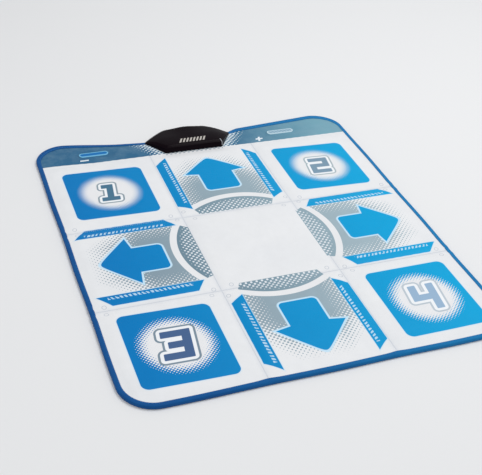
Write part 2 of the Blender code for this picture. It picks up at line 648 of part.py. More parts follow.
def make_board(parent):
    """The circuit board with its resin-covered chip, the tail, the pressure strip and the clamp bar."""
    board = add_object("circuit_board", box_solid((-BOARD_HALF, BOARD_FRONT_Y, BOARD_Z),
                                                  (BOARD_HALF, BOARD_BACK_Y, BOARD_TOP_Z)),
                       "circuit_board", HEADER_AT, parent)
    clamp = [CLAMP_Y - CLAMP_BAR_DEPTH / 2, CLAMP_Y + CLAMP_BAR_DEPTH / 2]
    bar = add_object("clamp_bar", box_solid((-BOARD_HALF, clamp[0], CLAMP_BAR_Z),
                                            (BOARD_HALF, clamp[1], CLAMP_BAR_Z + CLAMP_BAR_T)),
                     "clamp_plastic", HEADER_AT, parent)
    for x in (-CLAMP_X, CLAMP_X):
        for piece in (board, bar):
            cut(piece, cylinder(HOLE_R, BOARD_Z - BOARD_T, BOX_TOP_Z, x, CLAMP_Y, SCREW_SIDES))
    add_object("pressure_strip", box_solid((-TAIL_HALF, CLAMP_Y - STRIP_DEPTH / 2, STRIP_Z),
                                           (TAIL_HALF, CLAMP_Y + STRIP_DEPTH / 2, STRIP_Z + STRIP_T)),
               "silicone", HEADER_AT, parent)
    blob_y = (clamp[1] + BOARD_BACK_Y) / 2
    dome = [(0.0, 0.0), (BLOB_R, 0.0)]
    dome += [(BLOB_R * math.cos(a), BLOB_T * math.sin(a)) for a in (math.pi / 6, math.pi / 3)]
    dome += [(0.0, BLOB_T)]
    add_object("chip_blob", turned(dome, POST_SIDES), "chip_resin",
               (HEADER_X, blob_y, BOARD_TOP_Z + GAP), parent)


def make_tail(parent):
    """The films' tail: out of the mat through the tray's slot, up and over the board's front edge."""
    low = SPACER_Z + SPACER_T / 2 - FILM_T / 2
    rise_y = (NOTCH_FRONT_Y + GAP + TRAY_WALL + BOARD_FRONT_Y) / 2
    bend = FILM_T
    top = TAIL_Z + FILM_T
    lower_line = [(NOTCH_FRONT_Y - TAIL_SLOT_DEPTH, low), (rise_y + bend, low), (rise_y + bend, TAIL_Z),
                  (CLAMP_Y + STRIP_DEPTH / 2, TAIL_Z)]
    upper_line = [(CLAMP_Y + STRIP_DEPTH / 2, top), (rise_y, top), (rise_y, low + FILM_T),
                  (NOTCH_FRONT_Y - TAIL_SLOT_DEPTH, low + FILM_T)]
    bm = bmesh.new()
    section = [bm.verts.new((-TAIL_HALF, y, z)) for y, z in lower_line + upper_line]
    face = bm.faces.new(section)
    made = bmesh.ops.extrude_face_region(bm, geom=[face])
    moved = [v for v in made["geom"] if isinstance(v, bmesh.types.BMVert)]
    bmesh.ops.translate(bm, verts=moved, vec=(2 * TAIL_HALF, 0, 0))
    add_object("film_tail", bm, "contact_film", HEADER_AT, parent)


def make_gland(parent):
    """The rubber grommet in the box's rear wall, where a cord would leave. Its bore is empty."""
    inner = -(BOX_WALL + BOX_DRAFT + GAP)
    profile = [
        (GLAND_BORE, inner - GLAND_FLANGE_T), (GLAND_NECK + BOX_WALL / 2, inner - GLAND_FLANGE_T),
        (GLAND_NECK + BOX_WALL / 2, inner), (GLAND_NECK, inner), (GLAND_NECK, GAP), (GLAND_FLANGE, GAP),
        (GLAND_FLANGE, GLAND_FLANGE_T * GLAND_RIM), (GLAND_FLANGE * GLAND_FACE, GLAND_FLANGE_T + GAP),
        (GLAND_BORE, GLAND_FLANGE_T + GAP),
    ]
    bm = turned(profile, GLAND_SIDES)
    bmesh.ops.rotate(bm, verts=bm.verts, cent=(0, 0, 0), matrix=TO_BACK)
    add_object("cord_grommet", bm, "grommet_rubber", (HEADER_X, BOX_REAR_Y, GLAND_Z), parent)


def make_control_box(parent):
    """Everything that the control box holds."""
    make_upper_shell(parent)
    make_lower_shell(parent)
    make_board(parent)
    make_tail(parent)
    make_gland(parent)
    for number, (x, y) in enumerate(POST_PLACES, 1):
        make_screw(f"case_screw_{number}", SCREW_LENGTH, x, y, HEAD_SEAT_Z, parent, head_up=False)
    for name, x in (("left", -CLAMP_X), ("right", CLAMP_X)):
        make_screw(f"clamp_screw_{name}", CLAMP_SCREW_LENGTH, x, CLAMP_Y, CLAMP_HEAD_Z, parent, head_up=True)


def main():
    """Builds the mat row by row, then its pads, its binding and the control box."""
    for old in list(bpy.data.objects):
        bpy.data.objects.remove(old)
    middle = add_axis("mat", (0.0, 0.0, 0.0))
    near = add_axis("near_fold_axis", (0.0, -SEAM_Y, NEAR_FOLD_Z), middle)
    far = add_axis("far_fold_axis", (0.0, SEAM_Y, FAR_FOLD_Z), middle)
    carriers = {"near": near, "middle": middle, "far": far}
    for row in ROWS:
        make_base(row, carriers[row.name])
        make_films(row, carriers[row.name])
        make_cover(row, carriers[row.name])
    make_bindings(near, middle, far)
    for name, (column, line), row_name in PADS:
        make_pad(name, column * PITCH, line * PITCH, carriers[row_name])
    for name, x in PILLS:
        make_pill(name, x, far)
    make_control_box(far)
    print(f"mat {2 * SIDE_X:.3f} x {FAR_Y - NEAR_Y:.3f} x {MAT_TOP:.4f} m, box top {BOX_TOP_Z:.4f} m")
    print(f"pad travel {TRAVEL * 1000:.2f} mm, fold lines at z {NEAR_FOLD_Z:.4f} and {FAR_FOLD_Z:.4f} m")


main()
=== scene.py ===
# %% [markdown]
# # A soft dance mat controller
#
# The packed model holds the real sizes: sheets, contacts, hinge lines and the control box. This file
# dresses it. The mat on the photograph is a printed vinyl cover over thin foam, sewn into nine cells,
# with a woven binding round its edge and a dark control box clamped on its far side.
#
# The model is loaded first, because every size below is read from it or measured against it.

# %% The packed model
import json
import math

import bmesh
import bpy
from mathutils import Matrix, Vector, noise


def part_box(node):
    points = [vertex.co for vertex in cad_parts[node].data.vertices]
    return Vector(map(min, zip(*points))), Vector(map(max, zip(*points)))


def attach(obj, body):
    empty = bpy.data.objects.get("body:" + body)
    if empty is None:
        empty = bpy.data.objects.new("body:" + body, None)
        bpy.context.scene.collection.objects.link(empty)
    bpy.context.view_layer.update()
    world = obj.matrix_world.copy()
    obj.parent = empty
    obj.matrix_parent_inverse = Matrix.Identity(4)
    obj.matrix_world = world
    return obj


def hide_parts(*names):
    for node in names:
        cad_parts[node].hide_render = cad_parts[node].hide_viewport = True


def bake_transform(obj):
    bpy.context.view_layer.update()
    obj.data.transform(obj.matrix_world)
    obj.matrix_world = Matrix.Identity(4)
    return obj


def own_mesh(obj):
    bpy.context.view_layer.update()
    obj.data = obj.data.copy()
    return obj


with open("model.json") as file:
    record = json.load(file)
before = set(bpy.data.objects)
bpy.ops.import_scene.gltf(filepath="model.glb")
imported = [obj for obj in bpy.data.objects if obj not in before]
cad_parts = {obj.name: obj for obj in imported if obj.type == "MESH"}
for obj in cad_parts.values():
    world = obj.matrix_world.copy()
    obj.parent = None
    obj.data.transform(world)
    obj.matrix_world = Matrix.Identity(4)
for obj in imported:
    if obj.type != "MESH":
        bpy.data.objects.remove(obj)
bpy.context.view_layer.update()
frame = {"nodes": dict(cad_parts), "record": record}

# %% [markdown]
# ## The plan of the mat
#
# Every cell is one pitch wide. The seams, the pads and the control box follow from a few boxes of the
# packed model, so that nothing here has to be typed twice. Prints are drawn in cells: one unit of a print
# is one pitch, and its origin is the middle of the centre cell.

# %% Plan sizes
pad_low, pad_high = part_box("pad_right")
PITCH = (pad_low.x + pad_high.x) / 2
PAD_HALF = (pad_high.x - pad_low.x) / 2
SIDE = -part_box("binding_left")[0].x
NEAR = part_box("binding_near")[0].y
BOX_LOW, BOX_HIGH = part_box("upper_shell")
BOX_OVERHANG = 0.001
FAR = BOX_HIGH.y - BOX_OVERHANG     # the line through the mat's far corners, before they are rounded
SEAM = PITCH / 2
HEADER = 1.5 * PITCH
MAT_CORNER = 0.070
STACK_INSET = 0.0015
FLANGE = 0.0100                     # width of the binding's flange over the cover
BOX_X = (BOX_LOW.x + BOX_HIGH.x) / 2
EDGE_DIP = 0.030                    # how far the far edge comes in at the control box
DIP_Y = FAR - EDGE_DIP
DIPS = [(BOX_LOW.x, DIP_Y), (BOX_HIGH.x, DIP_Y)]
TRAY_GAP = 0.0003
NOTCH_HALF = 0.052                  # half the width of the place left free for the box's tray
NOTCH_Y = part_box("lower_shell")[0].y - TRAY_GAP
pill_low, pill_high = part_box("switch_plus")
PILL_Y = (pill_low.y + pill_high.y) / 2
PILL_APART = (pill_low.x + pill_high.x) / 2 - BOX_X
PILL_R = (pill_high.y - pill_low.y) / 2
PILL_SPINE = (pill_high.x - pill_low.x) / 2 - PILL_R

# %% [markdown]
# ## Camera
#
# The photograph looks down on the mat from the left of its near side. The place, the lens and the small
# roll were fitted so that the three rows of cells land where the photograph shows them.

# %% Camera
AZIMUTH, ELEVATION, ROLL = (math.radians(a) for a in (-23.11, 36.015, 4.984))
TARGET = Vector((-0.0279, 0.0387, 0.0))
CAMERA_DISTANCE = 2.0982
SENSOR = 36.0
FOCAL_PIXELS = 936.46
PHOTO_WIDTH = 482


def camera_axes():
    """The camera's right, up and backward directions."""
    back = Vector((math.sin(AZIMUTH) * math.cos(ELEVATION), -math.cos(AZIMUTH) * math.cos(ELEVATION),
                   math.sin(ELEVATION)))
    right = Vector((math.cos(AZIMUTH), math.sin(AZIMUTH), 0.0))
    up = back.cross(right)
    turned_right = math.cos(ROLL) * right + math.sin(ROLL) * up
    turned_up = -math.sin(ROLL) * right + math.cos(ROLL) * up
    return turned_right, turned_up, back


right, up, back = camera_axes()
camera = bpy.data.objects.new("camera", bpy.data.cameras.new("camera"))
bpy.context.scene.collection.objects.link(camera)
camera.matrix_world = Matrix.Translation(TARGET + back * CAMERA_DISTANCE) @ Matrix(
    (right, up, back)).transposed().to_4x4()
camera.data.sensor_width = SENSOR
camera.data.lens = FOCAL_PIXELS * SENSOR / PHOTO_WIDTH
camera.data.clip_start = 0.05
bpy.context.scene.camera = camera
print(f"lens {camera.data.lens:.2f} mm")

# %% [markdown]
# ## Writing materials
#
# A node tree is hard to read as a list of links. Here a number that changes over a surface is a `Num`,
# which knows how to add, multiply and compare itself, and each operation adds one Math node. A colour goes
# through a Mix node. Everything else comes from `Paint.node`.

# %% Numbers over a surface


class Num:
    """A number that changes over a surface: one output socket of a node."""

    def __init__(self, paint, socket):
        self.paint, self.socket = paint, socket

    def __add__(self, other):
        return self.paint.math("ADD", self, other)

    __radd__ = __add__

    def __sub__(self, other):
        return self.paint.math("SUBTRACT", self, other)

    def __rsub__(self, other):
        return self.paint.math("SUBTRACT", other, self)

    def __mul__(self, other):
        return self.paint.math("MULTIPLY", self, other)

    __rmul__ = __mul__

    def __truediv__(self, other):
        return self.paint.math("DIVIDE", self, other)

    def __neg__(self):
        return self * -1

    def __abs__(self):
        return self.paint.math("ABSOLUTE", self)

    def least(self, other):
        return self.paint.math("MINIMUM", self, other)

    def most(self, other):
        return self.paint.math("MAXIMUM", self, other)

    def root(self):
        return self.paint.math("SQRT", self)

    def cosine(self):
        return self.paint.math("COSINE", self)

    def remainder(self, period):
        return self.paint.math("FLOORED_MODULO", self, period)

    def clamped(self):
        return self.paint.math("ADD", self, 0.0, clamp=True)


print("a Num knows", [name for name in vars(Num) if not name.startswith("_")])

# %% [markdown]
# ### One material at a time
#
# `Paint` holds one material while its nodes are written. Its methods stand for the few kinds of node that
# this mat needs. Any node could be added by hand in the same way, but then each link takes a line of its
# own, and the drawing is lost among them.

# %% A material being written


class Paint:
    """One material, while its nodes are written."""

    def __init__(self, name, **constants):
        self.material = bpy.data.materials.new(name)
        self.material.use_nodes = True
        self.tree = self.material.node_tree
        self.shader = self.tree.nodes["Principled BSDF"]
        for socket, value in constants.items():
            self.set(socket.replace("_", " "), value)

    def feed(self, socket, value):
        """Links or sets one input socket."""
        if isinstance(value, Num):
            value = value.socket
        if isinstance(value, bpy.types.NodeSocket):
            self.tree.links.new(value, socket)
        elif isinstance(value, tuple) and len(value) == 3 and socket.type == "RGBA":
            socket.default_value = (*value, 1.0)
        else:
            socket.default_value = value

    def node(self, kind, settings=None, inputs=None):
        """Adds any node. Its settings come first, then its inputs, by name or number."""
        made = self.tree.nodes.new(kind)
        for key, value in (settings or {}).items():
            setattr(made, key, value)
        for key, value in (inputs or {}).items():
            self.feed(made.inputs[key], value)
        return made

    def math(self, operation, first, second=0.0, clamp=False):
        made = self.node("ShaderNodeMath", {"operation": operation, "use_clamp": clamp},
                         {0: first, 1: second})
        return Num(self, made.outputs[0])

    def mix(self, mask, under, over):
        """The colour under, with the colour over laid on it where the mask is 1."""
        made = self.node("ShaderNodeMix", {"data_type": "RGBA"}, {0: mask, 6: under, 7: over})
        return made.outputs[2]

    def shade(self, colour, amount):
        """A colour made lighter or darker by a number."""
        made = self.node("ShaderNodeVectorMath", {"operation": "SCALE"}, {0: colour, "Scale": amount})
        return made.outputs[0]

    def place(self, name="Object"):
        """The three coordinates of a point: its place in the model, or its UV."""
        found = self.node("ShaderNodeTexCoord").outputs[name]
        parts = self.node("ShaderNodeSeparateXYZ", None, {0: found})
        return [Num(self, output) for output in parts.outputs]

    def noise(self, scale, detail=2.0, roughness=0.5, at="Object"):
        """Soft random variation between 0 and 1, of a size that scale sets."""
        where = self.node("ShaderNodeTexCoord").outputs[at]
        made = self.node("ShaderNodeTexNoise", None,
                         {"Vector": where, "Scale": scale, "Detail": detail, "Roughness": roughness})
        return Num(self, made.outputs[0])

    def set(self, socket, value):
        self.feed(self.shader.inputs[socket], value)

    def bump(self, height, depth):
        """Relief from a height between 0 and 1 that stands for depth metres."""
        made = self.node("ShaderNodeBump", None, {"Height": height, "Distance": depth})
        self.set("Normal", made.outputs[0])


print("a Paint knows", [name for name in vars(Paint) if not name.startswith("_")])

# %% [markdown]
# ### Colours
#
# Colours are written as a screen shows them, because that is how they are read off a photograph. Blender
# reckons in linear light, so they are changed once, here.

# %% Screen colours


def srgb(red, green, blue):
    """A colour as a screen shows it, in 0 to 255, made linear."""
    return tuple((c / 255 / 12.92) if c < 10.3 else ((c / 255 + 0.055) / 1.055) ** 2.4
                 for c in (red, green, blue))


print("cover white is", [round(c, 3) for c in srgb(232, 232, 232)])

# %% [markdown]
# ## Drawing with distances
#
# A printed shape has a crisp edge at any size if the material knows the distance to that edge. `block` gives
# the distance to a rounded rectangle, and shapes are joined with `least` and cut with `most`. A halftone is
# a lattice of dots that grow until they meet, as in print.

# %% Printed shapes
EDGE = 0.002                        # softness of a printed edge, in cells
DOT_SOFT = 0.10


def inside(distance, soft=EDGE):
    """1 inside a shape and 0 outside it."""
    return (0.5 - distance / soft).clamped()


def length(x, y):
    return (x * x + y * y).root()


def block(x, y, half_x, half_y, radius=0.0):
    """Distance to a rounded rectangle about the origin."""
    past_x = abs(x) - (half_x - radius)
    past_y = abs(y) - (half_y - radius)
    return length(past_x.most(0.0), past_y.most(0.0)) + past_x.most(past_y).least(0.0) - radius


def ramp(value, start, end):
    """0 at start, 1 at end, straight between."""
    return ((value - start) / (end - start)).clamped()


def halftone(x, y, pitch, ink):
    """Dots on a slanted lattice. Ink is the share of the surface that they cover."""
    turn = math.sqrt(2) * math.pi / pitch
    wave = ((x + y) * turn).cosine() + ((x - y) * turn).cosine()
    return ((ink - 0.5 - wave * 0.25) / DOT_SOFT + 0.5).clamped()


print(f"printed edges are {EDGE * PITCH * 1000:.2f} mm soft")

# %% [markdown]
# ## The printed vinyl
#
# All cells share one base: a soft white vinyl with a fine embossed grain, a slight sheen, and grey along the
# sewn lines that is part dirt and part painted shade. Small rings are printed near the cells' corners. The
# blue is a little deeper on the left than on the right, as the photograph shows it: painted shade, for light
# from the right.

# %% Inks
WHITE = srgb(233, 233, 234)
# One blue ink, painted darker on the left and lighter on the right: painted shade and light, for light from
# the right.
BLUE_LEFT = srgb(0, 120, 188)
BLUE_RIGHT = srgb(0, 163, 216)
PALE = srgb(196, 226, 243)
# The field's grey and the lens ground are lighter to the right: painted light and shade, as for the blue.
GREY_LEFT = srgb(136, 156, 168)
GREY_RIGHT = srgb(160, 180, 189)
LENS_LEFT = srgb(112, 138, 153)
LENS_RIGHT = srgb(146, 169, 180)
DOT_WHITE = srgb(226, 231, 235)
MARK_GREY = srgb(172, 181, 194)
# SLATE_RIGHT is the slate under a painted sheen at the header's right end.
SLATE_LEFT = srgb(52, 103, 138)
SLATE_RIGHT = srgb(116, 164, 180)
VINYL_LIGHT, VINYL_GREY = srgb(236, 236, 236), srgb(224, 226, 229)
# Grey along the sewn lines: part dirt, part painted shade in the seams' valleys.
SEAM_SHADE_AND_DIRT, SEAM_LINE = srgb(205, 210, 218), srgb(176, 184, 196)
SEAM_SHADE_AND_DIRT_REACH = 0.030
MARK_R, MARK_LINE = 0.016, 0.0022
MARKS = ((1.402, 0.462), (1.405, 0.545), (0.592, 0.540), (0.405, 0.455), (0.470, 0.575), (0.555, 0.475))
VINYL_ROUGHNESS = 0.42
GLOSS = 0.10
GRAIN_SCALE = 1500.0
DENT_SCALE = 26.0
DENT_DEPTH = 0.0011


def plan(paint):
    """The point's place in the plan of the mat, in cells."""
    x, y, _ = paint.place("UV")
    return x, y


def ring_mark(x, y, at_x, at_y):
    """Distance to a small drawn ring."""
    return abs(length(x - at_x, y - at_y) - MARK_R) - MARK_LINE


def cover_base(paint, x, y):
    """White vinyl, greyed along its seams by dirt and painted shade, with its small marks."""
    tint = paint.noise(7.0, 3.0)
    colour = paint.mix(tint * 0.8, VINYL_LIGHT, VINYL_GREY)
    across, along = abs(abs(x) - 0.5), abs(abs(y) - 0.5)
    seam = across.least(along)
    # The cover greys towards each seam, for dirt and as painted shade in the seam's valley, and a thin grey
    # line follows the seam itself.
    colour = paint.mix(ramp(seam, SEAM_SHADE_AND_DIRT_REACH, 0.0) * 0.35, colour, SEAM_SHADE_AND_DIRT)
    colour = paint.mix(inside(seam - 0.003, 0.004) * 0.40, colour, SEAM_LINE)
    far_x, far_y = abs(x), abs(y)
    marks = ring_mark(far_x, far_y, *MARKS[0])
    for at in MARKS[1:]:
        marks = marks.least(ring_mark(far_x, far_y, *at))
    return paint.mix(inside(marks, 0.003) * 0.75, colour, MARK_GREY)


def blue_ink_with_painted_shade(paint, x):
    """Blue ink, painted deeper towards the left of the mat as shade, for light that falls from the right."""
    return paint.mix(ramp(x, -1.3, 1.3), BLUE_LEFT, BLUE_RIGHT)


def finish_vinyl(paint, colour):
    """Grain, soft dents and an uneven sheen, under any print."""
    mottle = paint.noise(38.0, 4.0, 0.6)
    paint.set("Base Color", paint.shade(colour, 1.03 - mottle * 0.08))
    smudge = paint.noise(9.0, 3.0, 0.6)
    paint.set("Roughness", VINYL_ROUGHNESS + (smudge - 0.5) * 0.22)
    grain = paint.noise(GRAIN_SCALE, 2.0)
    dents = paint.noise(DENT_SCALE, 3.0, 0.55)
    paint.bump(dents + grain * 0.035, DENT_DEPTH)
    return paint.material


print("small rings in a quarter of the mat", len(MARKS))

# %% [markdown]
# ## The four corner pads
#
# Each corner cell holds a blue square with a white glow that breaks up into dots, and a sign in the middle.
# The signs here are plain numbers, built from straight strokes like those of a clock. The same distance
# that fills a stroke also draws its white gap and its thin grey rim.

# %% Corner pads
PAD_PRINT_HALF = 0.354
PAD_PRINT_CORNER = 0.058
GLOW_START, GLOW_END = 0.520, 0.800    # in shares of the square's half height
GLOW_PITCH = 0.0200
SIGN_HALF_X, SIGN_HALF_Y = 0.112, 0.148
STROKE, STROKE_CORNER = 0.034, 0.008
SIGN_SLANT = 0.14
SIGN_GAP_WHITE = srgb(240, 242, 244)
SIGN_GAP, SIGN_RIM = 0.026, 0.043
STROKES = {
    # name: (middle x, middle y, half width, half height), in shares of the sign's half sizes
    "top": (0, 1, 1, 0), "middle": (0, 0, 1, 0), "bottom": (0, -1, 1, 0),
    "upper_left": (-1, 0.5, 0, 0.5), "upper_right": (1, 0.5, 0, 0.5),
    "lower_left": (-1, -0.5, 0, 0.5), "lower_right": (1, -0.5, 0, 0.5),
    "stem": (0, 0, 0, 1), "flag": (-0.35, 1, 0.35, 0), "foot": (0, -1, 0.75, 0), "tongue": (0.3, 0, 0.7, 0),
}
SIGNS = {
    "one": ("stem", "flag", "foot"),
    "two": ("top", "upper_right", "middle", "lower_left", "bottom"),
    "three": ("top", "upper_right", "tongue", "lower_right", "bottom"),
    "four": ("upper_left", "middle", "upper_right", "lower_right"),
}


def sign_distance(x, y, strokes):
    """Distance to a number made of straight strokes."""
    reach_x, reach_y = SIGN_HALF_X - STROKE, SIGN_HALF_Y - STROKE
    found = None
    for name in strokes:
        at_x, at_y, wide, high = STROKES[name]
        stroke = block(x - at_x * reach_x, y - at_y * reach_y,
                       wide * reach_x + STROKE, high * reach_y + STROKE, STROKE_CORNER)
        found = stroke if found is None else found.least(stroke)
    return found


def corner_print(name, middle, half_y, size, tone, rim, lean=0.0):
    """The print of one corner cell, about the middle that the photograph shows. The number has a size, an
    ink and a rim of its own, and the square's far and near edges may lean."""
    paint = Paint(f"corner_pad_{name}", Specular_IOR_Level=GLOSS)
    x, y = plan(paint)
    colour = cover_base(paint, x, y)
    at_x, at_y = x - middle[0], y - middle[1] + (x - middle[0]) * lean
    square = block(at_x, at_y, PAD_PRINT_HALF, half_y, PAD_PRINT_CORNER)
    colour = paint.mix(inside(square - 0.008, 0.010) * 0.5, colour, PALE)
    colour = paint.mix(inside(square), colour, blue_ink_with_painted_shade(paint, x))
    radius = length(at_x, at_y) / half_y
    ink = ramp(radius, GLOW_START, GLOW_END)
    glow = (1 - halftone(x, y, GLOW_PITCH, ink)) * inside(radius - GLOW_END, 0.03)
    colour = paint.mix(glow, colour, WHITE)
    sign = sign_distance((at_x - at_y * SIGN_SLANT) / size, at_y / size, SIGNS[name])
    colour = paint.mix(inside(sign - SIGN_RIM), colour, srgb(*rim))
    colour = paint.mix(inside(sign - SIGN_GAP), colour, SIGN_GAP_WHITE)
    colour = paint.mix(inside(sign), colour, srgb(*tone))
    return finish_vinyl(paint, colour)


print("numbers", list(SIGNS))

# %% [markdown]
# ## The four arrow pads
#
# The cells beside the centre share one drawing, turned four ways: a blue arrow with a pale outline, on grey
# that dissolves into dots, between two blue bars. A part of a ring runs round the centre cell, and inside it
# lies a lens of white dots. A row of slanted dashes runs along each bar's inner side.

# %% Arrow pads
RING_IN, RING_OUT = 0.655, 0.713
LENS_CHORDS = {"near": 0.455, "far": 0.512, "left": 0.497, "right": 0.475}
LENS_HALF, LENS_FLARE = 0.330, 0.50    # half the chord, and how fast the ends widen towards the ring
LENS_INK, LENS_GAIN = 0.64, 0.44       # the dots' ink, and how much more of it there is at the ring
LENS_FADE = (0.055, 0.010)             # where that begins and ends, inside the ring
FIELD_FULL = 1.04                      # the field's ink beside the arrow
FIELD_SIDE = (0.215, 0.350, 0.36)      # it thins out sideways: from, to, and by how much
FIELD_END = (0.94, 1.44, 1.15)         # and outwards
RING_AT = (-0.012, 0.027)           # the ring's middle, a little off the mat's
LENS_PITCH, FIELD_PITCH = 0.0315, 0.0275
SHAFT_HALF, SHAFT_CORNER, TIP_ROUND = 0.156, 0.038, 0.030
BARB_SLOPE = 0.18                   # how far the barbs lie outside the head's inner corners
OUTLINE = 0.016
BAR_IN, BAR_OUT = 0.373, 0.486
BAR_LONG = (0.590, 1.438)           # the bar's longer side, along the arrow
BAR_SHORT = (0.666, 1.338)
DASH_IN, DASH_HALF = 0.031, 0.0135  # how far the dashes lie inside a bar, and half their height
DASHES_AT, DASHES_HALF = 1.02, 0.335
DASH_PERIOD = 0.034
DASH_GAP, DASH_UNEVEN = 0.003, 0.026


def arrow_distance(u, v, inner, barb, tip, half):
    """Distance to the arrow, which points along v from its inner end. Its tip is rounded."""
    end = barb + 0.04
    shaft = block(u, v - (inner + end) / 2, SHAFT_HALF, (end - inner) / 2, SHAFT_CORNER)
    rise = tip - barb
    slant = math.hypot(rise, half)
    rounded = (u * u + TIP_ROUND ** 2).root()
    side = rounded * (rise / slant) + (v - tip) * (half / slant)
    under = (abs(u) - half) * BARB_SLOPE + barb - v
    return shaft.least(side.most(under))


print("a bar is", round((BAR_LONG[1] - BAR_LONG[0]) * PITCH, 3), "m long")

# %% [markdown]
# ### Bars and dashes
#
# A bar is longer on the side that faces the arrow, so its ends are slanted. It is drawn as two distances, to
# its sides and to its ends, and the larger one is the distance to the bar. Noise makes the dashes uneven, so
# that they read as print and not as a ruler.

# %% Bars


def bar_distance(u, v):
    """Distance to the two bars beside the arrow: long on the inside, with slanted ends."""
    wide = abs(u)
    slope_in = (BAR_SHORT[0] - BAR_LONG[0]) / (BAR_OUT - BAR_IN)
    slope_out = (BAR_LONG[1] - BAR_SHORT[1]) / (BAR_OUT - BAR_IN)
    near_end = (BAR_LONG[0] + (wide - BAR_IN) * slope_in - v) * 0.75
    far_end = (v - BAR_LONG[1] + (wide - BAR_IN) * slope_out) * 0.75
    return abs(wide - (BAR_IN + BAR_OUT) / 2) - (BAR_OUT - BAR_IN) / 2, near_end.most(far_end)


def dashes(paint, u, v):
    """A row of slanted dashes of uneven length along a bar's inner side."""
    wide = abs(u)
    row = abs(wide - (BAR_IN + DASH_IN)) - DASH_HALF
    ends = abs(v - DASHES_AT) - DASHES_HALF
    step = (v + wide * 0.5).remainder(DASH_PERIOD)
    uneven = paint.noise(34.0, 0.0, at="UV")
    gap = (uneven * DASH_UNEVEN + DASH_GAP) - step
    return row.most(ends).most(gap)


def add_bars(paint, colour, x, u, v):
    """Lays the two bars beside an arrow over a colour."""
    side, ends = bar_distance(u, v)
    bar = side.most(ends)
    colour = paint.mix(inside(bar - 0.007, 0.010) * 0.6, colour, PALE)
    colour = paint.mix(inside(bar), colour, blue_ink_with_painted_shade(paint, x))
    return paint.mix(inside(dashes(paint, u, v).most(bar)) * 0.85, colour, PALE)


print("dashes every", round(DASH_PERIOD * PITCH * 1000, 1), "mm")

# %% [markdown]
# ### The ring and its lenses
#
# The ring runs round the centre cell. Between it and the cell lies a lens of white dots, cut off straight at
# the sewn line. The same function draws it on the arrow cell and on its neighbours, so that it goes on
# across a seam without a step.

# %% Lenses


def add_lens(paint, colour, x, y, name):
    """Lays the lens between one arrow cell and the centre cell over a colour."""
    (ux, uy), (vx, vy), *_ = ARROWS[name]
    at_x, at_y = x - RING_AT[0], y - RING_AT[1]
    radius = length(at_x, at_y)
    v = x * vx + y * vy - LENS_CHORDS[name]
    side = (abs(at_x * ux + at_y * uy) - LENS_HALF - v * LENS_FLARE) * 0.9
    lens = (radius - RING_IN).most(-v).most(side)
    ink = LENS_INK + ramp(radius, RING_IN - LENS_FADE[0], RING_IN - LENS_FADE[1]) * LENS_GAIN
    # The lens ground is lighter towards the right: painted light across the mat.
    ground = paint.mix(ramp(x, -0.6, 0.6), LENS_LEFT, LENS_RIGHT)
    return paint.mix(inside(lens), colour, paint.mix(halftone(x, y, LENS_PITCH, ink), DOT_WHITE, ground))


print("lens chords", LENS_CHORDS)

# %% [markdown]
# ### A whole arrow cell
#
# A cell is painted from the back to the front, as a printer lays down inks: vinyl, lens, dotted field, bars,
# and the arrow on top. The four cells aren't quite alike in the photograph, so each has its own row of sizes.

# %% Arrow cells


def arrow_print(name):
    """The print of one arrow cell."""
    paint = Paint(f"arrow_pad_{name}", Specular_IOR_Level=GLOSS)
    x, y = plan(paint)
    colour = cover_base(paint, x, y)
    (ux, uy), (vx, vy), shift, *arrow_sizes = ARROWS[name]
    u, v = x * ux + y * uy, x * vx + y * vy
    radius = length(x - RING_AT[0], y - RING_AT[1])
    colour = add_lens(paint, colour, x, y, name)
    u = u - shift
    (side_from, side_to, side_loss), (end_from, end_to, end_loss) = FIELD_SIDE, FIELD_END
    ink = FIELD_FULL - ramp(abs(u), side_from, side_to) * side_loss - ramp(v, end_from, end_to) * end_loss
    field = (RING_OUT - radius).most(abs(u) - BAR_IN)
    # The field's grey is lighter towards the right: painted light across the mat.
    tone = paint.mix(ramp(x, -0.9, 0.9), GREY_LEFT, GREY_RIGHT)
    tone = paint.shade(tone, 1.08 - paint.noise(16.0, 3.0, 0.7) * 0.16)
    colour = paint.mix(inside(field) * halftone(x, y, FIELD_PITCH, ink), colour, tone)
    colour = add_bars(paint, colour, x, u, v)
    arrow = arrow_distance(u, v, *arrow_sizes)
    colour = paint.mix(inside(arrow - OUTLINE, 0.006), colour, PALE)
    colour = paint.mix(inside(arrow), colour, blue_ink_with_painted_shade(paint, x))
    return finish_vinyl(paint, colour)


ARROWS = {
    # name: lateral, outward, sideways error, inner end, barbs, tip, half width of the head
    "near": ((1, 0), (0, -1), 0.006, 0.768, 1.055, 1.368, 0.283),
    "far": ((1, 0), (0, 1), -0.006, 0.832, 1.118, 1.372, 0.278),
    "left": ((0, 1), (-1, 0), 0.026, 0.786, 1.055, 1.339, 0.293),
    "right": ((0, 1), (1, 0), 0.008, 0.778, 1.040, 1.321, 0.274),
}


def centre_print():
    """The centre cell: nothing but vinyl and the lenses that reach into it."""
    paint = Paint("plain_vinyl", Specular_IOR_Level=GLOSS)
    x, y = plan(paint)
    colour = cover_base(paint, x, y)
    for name in ("near", "left", "right"):
        colour = add_lens(paint, colour, x, y, name)
    return finish_vinyl(paint, colour)


def strip_print():
    """The strips along the fold lines: vinyl, with the lenses and bars that reach into them."""
    paint = Paint("strip_vinyl", Specular_IOR_Level=GLOSS)
    x, y = plan(paint)
    colour = add_lens(paint, cover_base(paint, x, y), x, y, "near")
    colour = add_lens(paint, colour, x, y, "far")
    for name in ("left", "right"):
        _, (vx, _), shift, *_ = ARROWS[name]
        colour = add_bars(paint, colour, x, y - shift, x * vx)
    return finish_vinyl(paint, colour)


print("arrow cells", list(ARROWS))
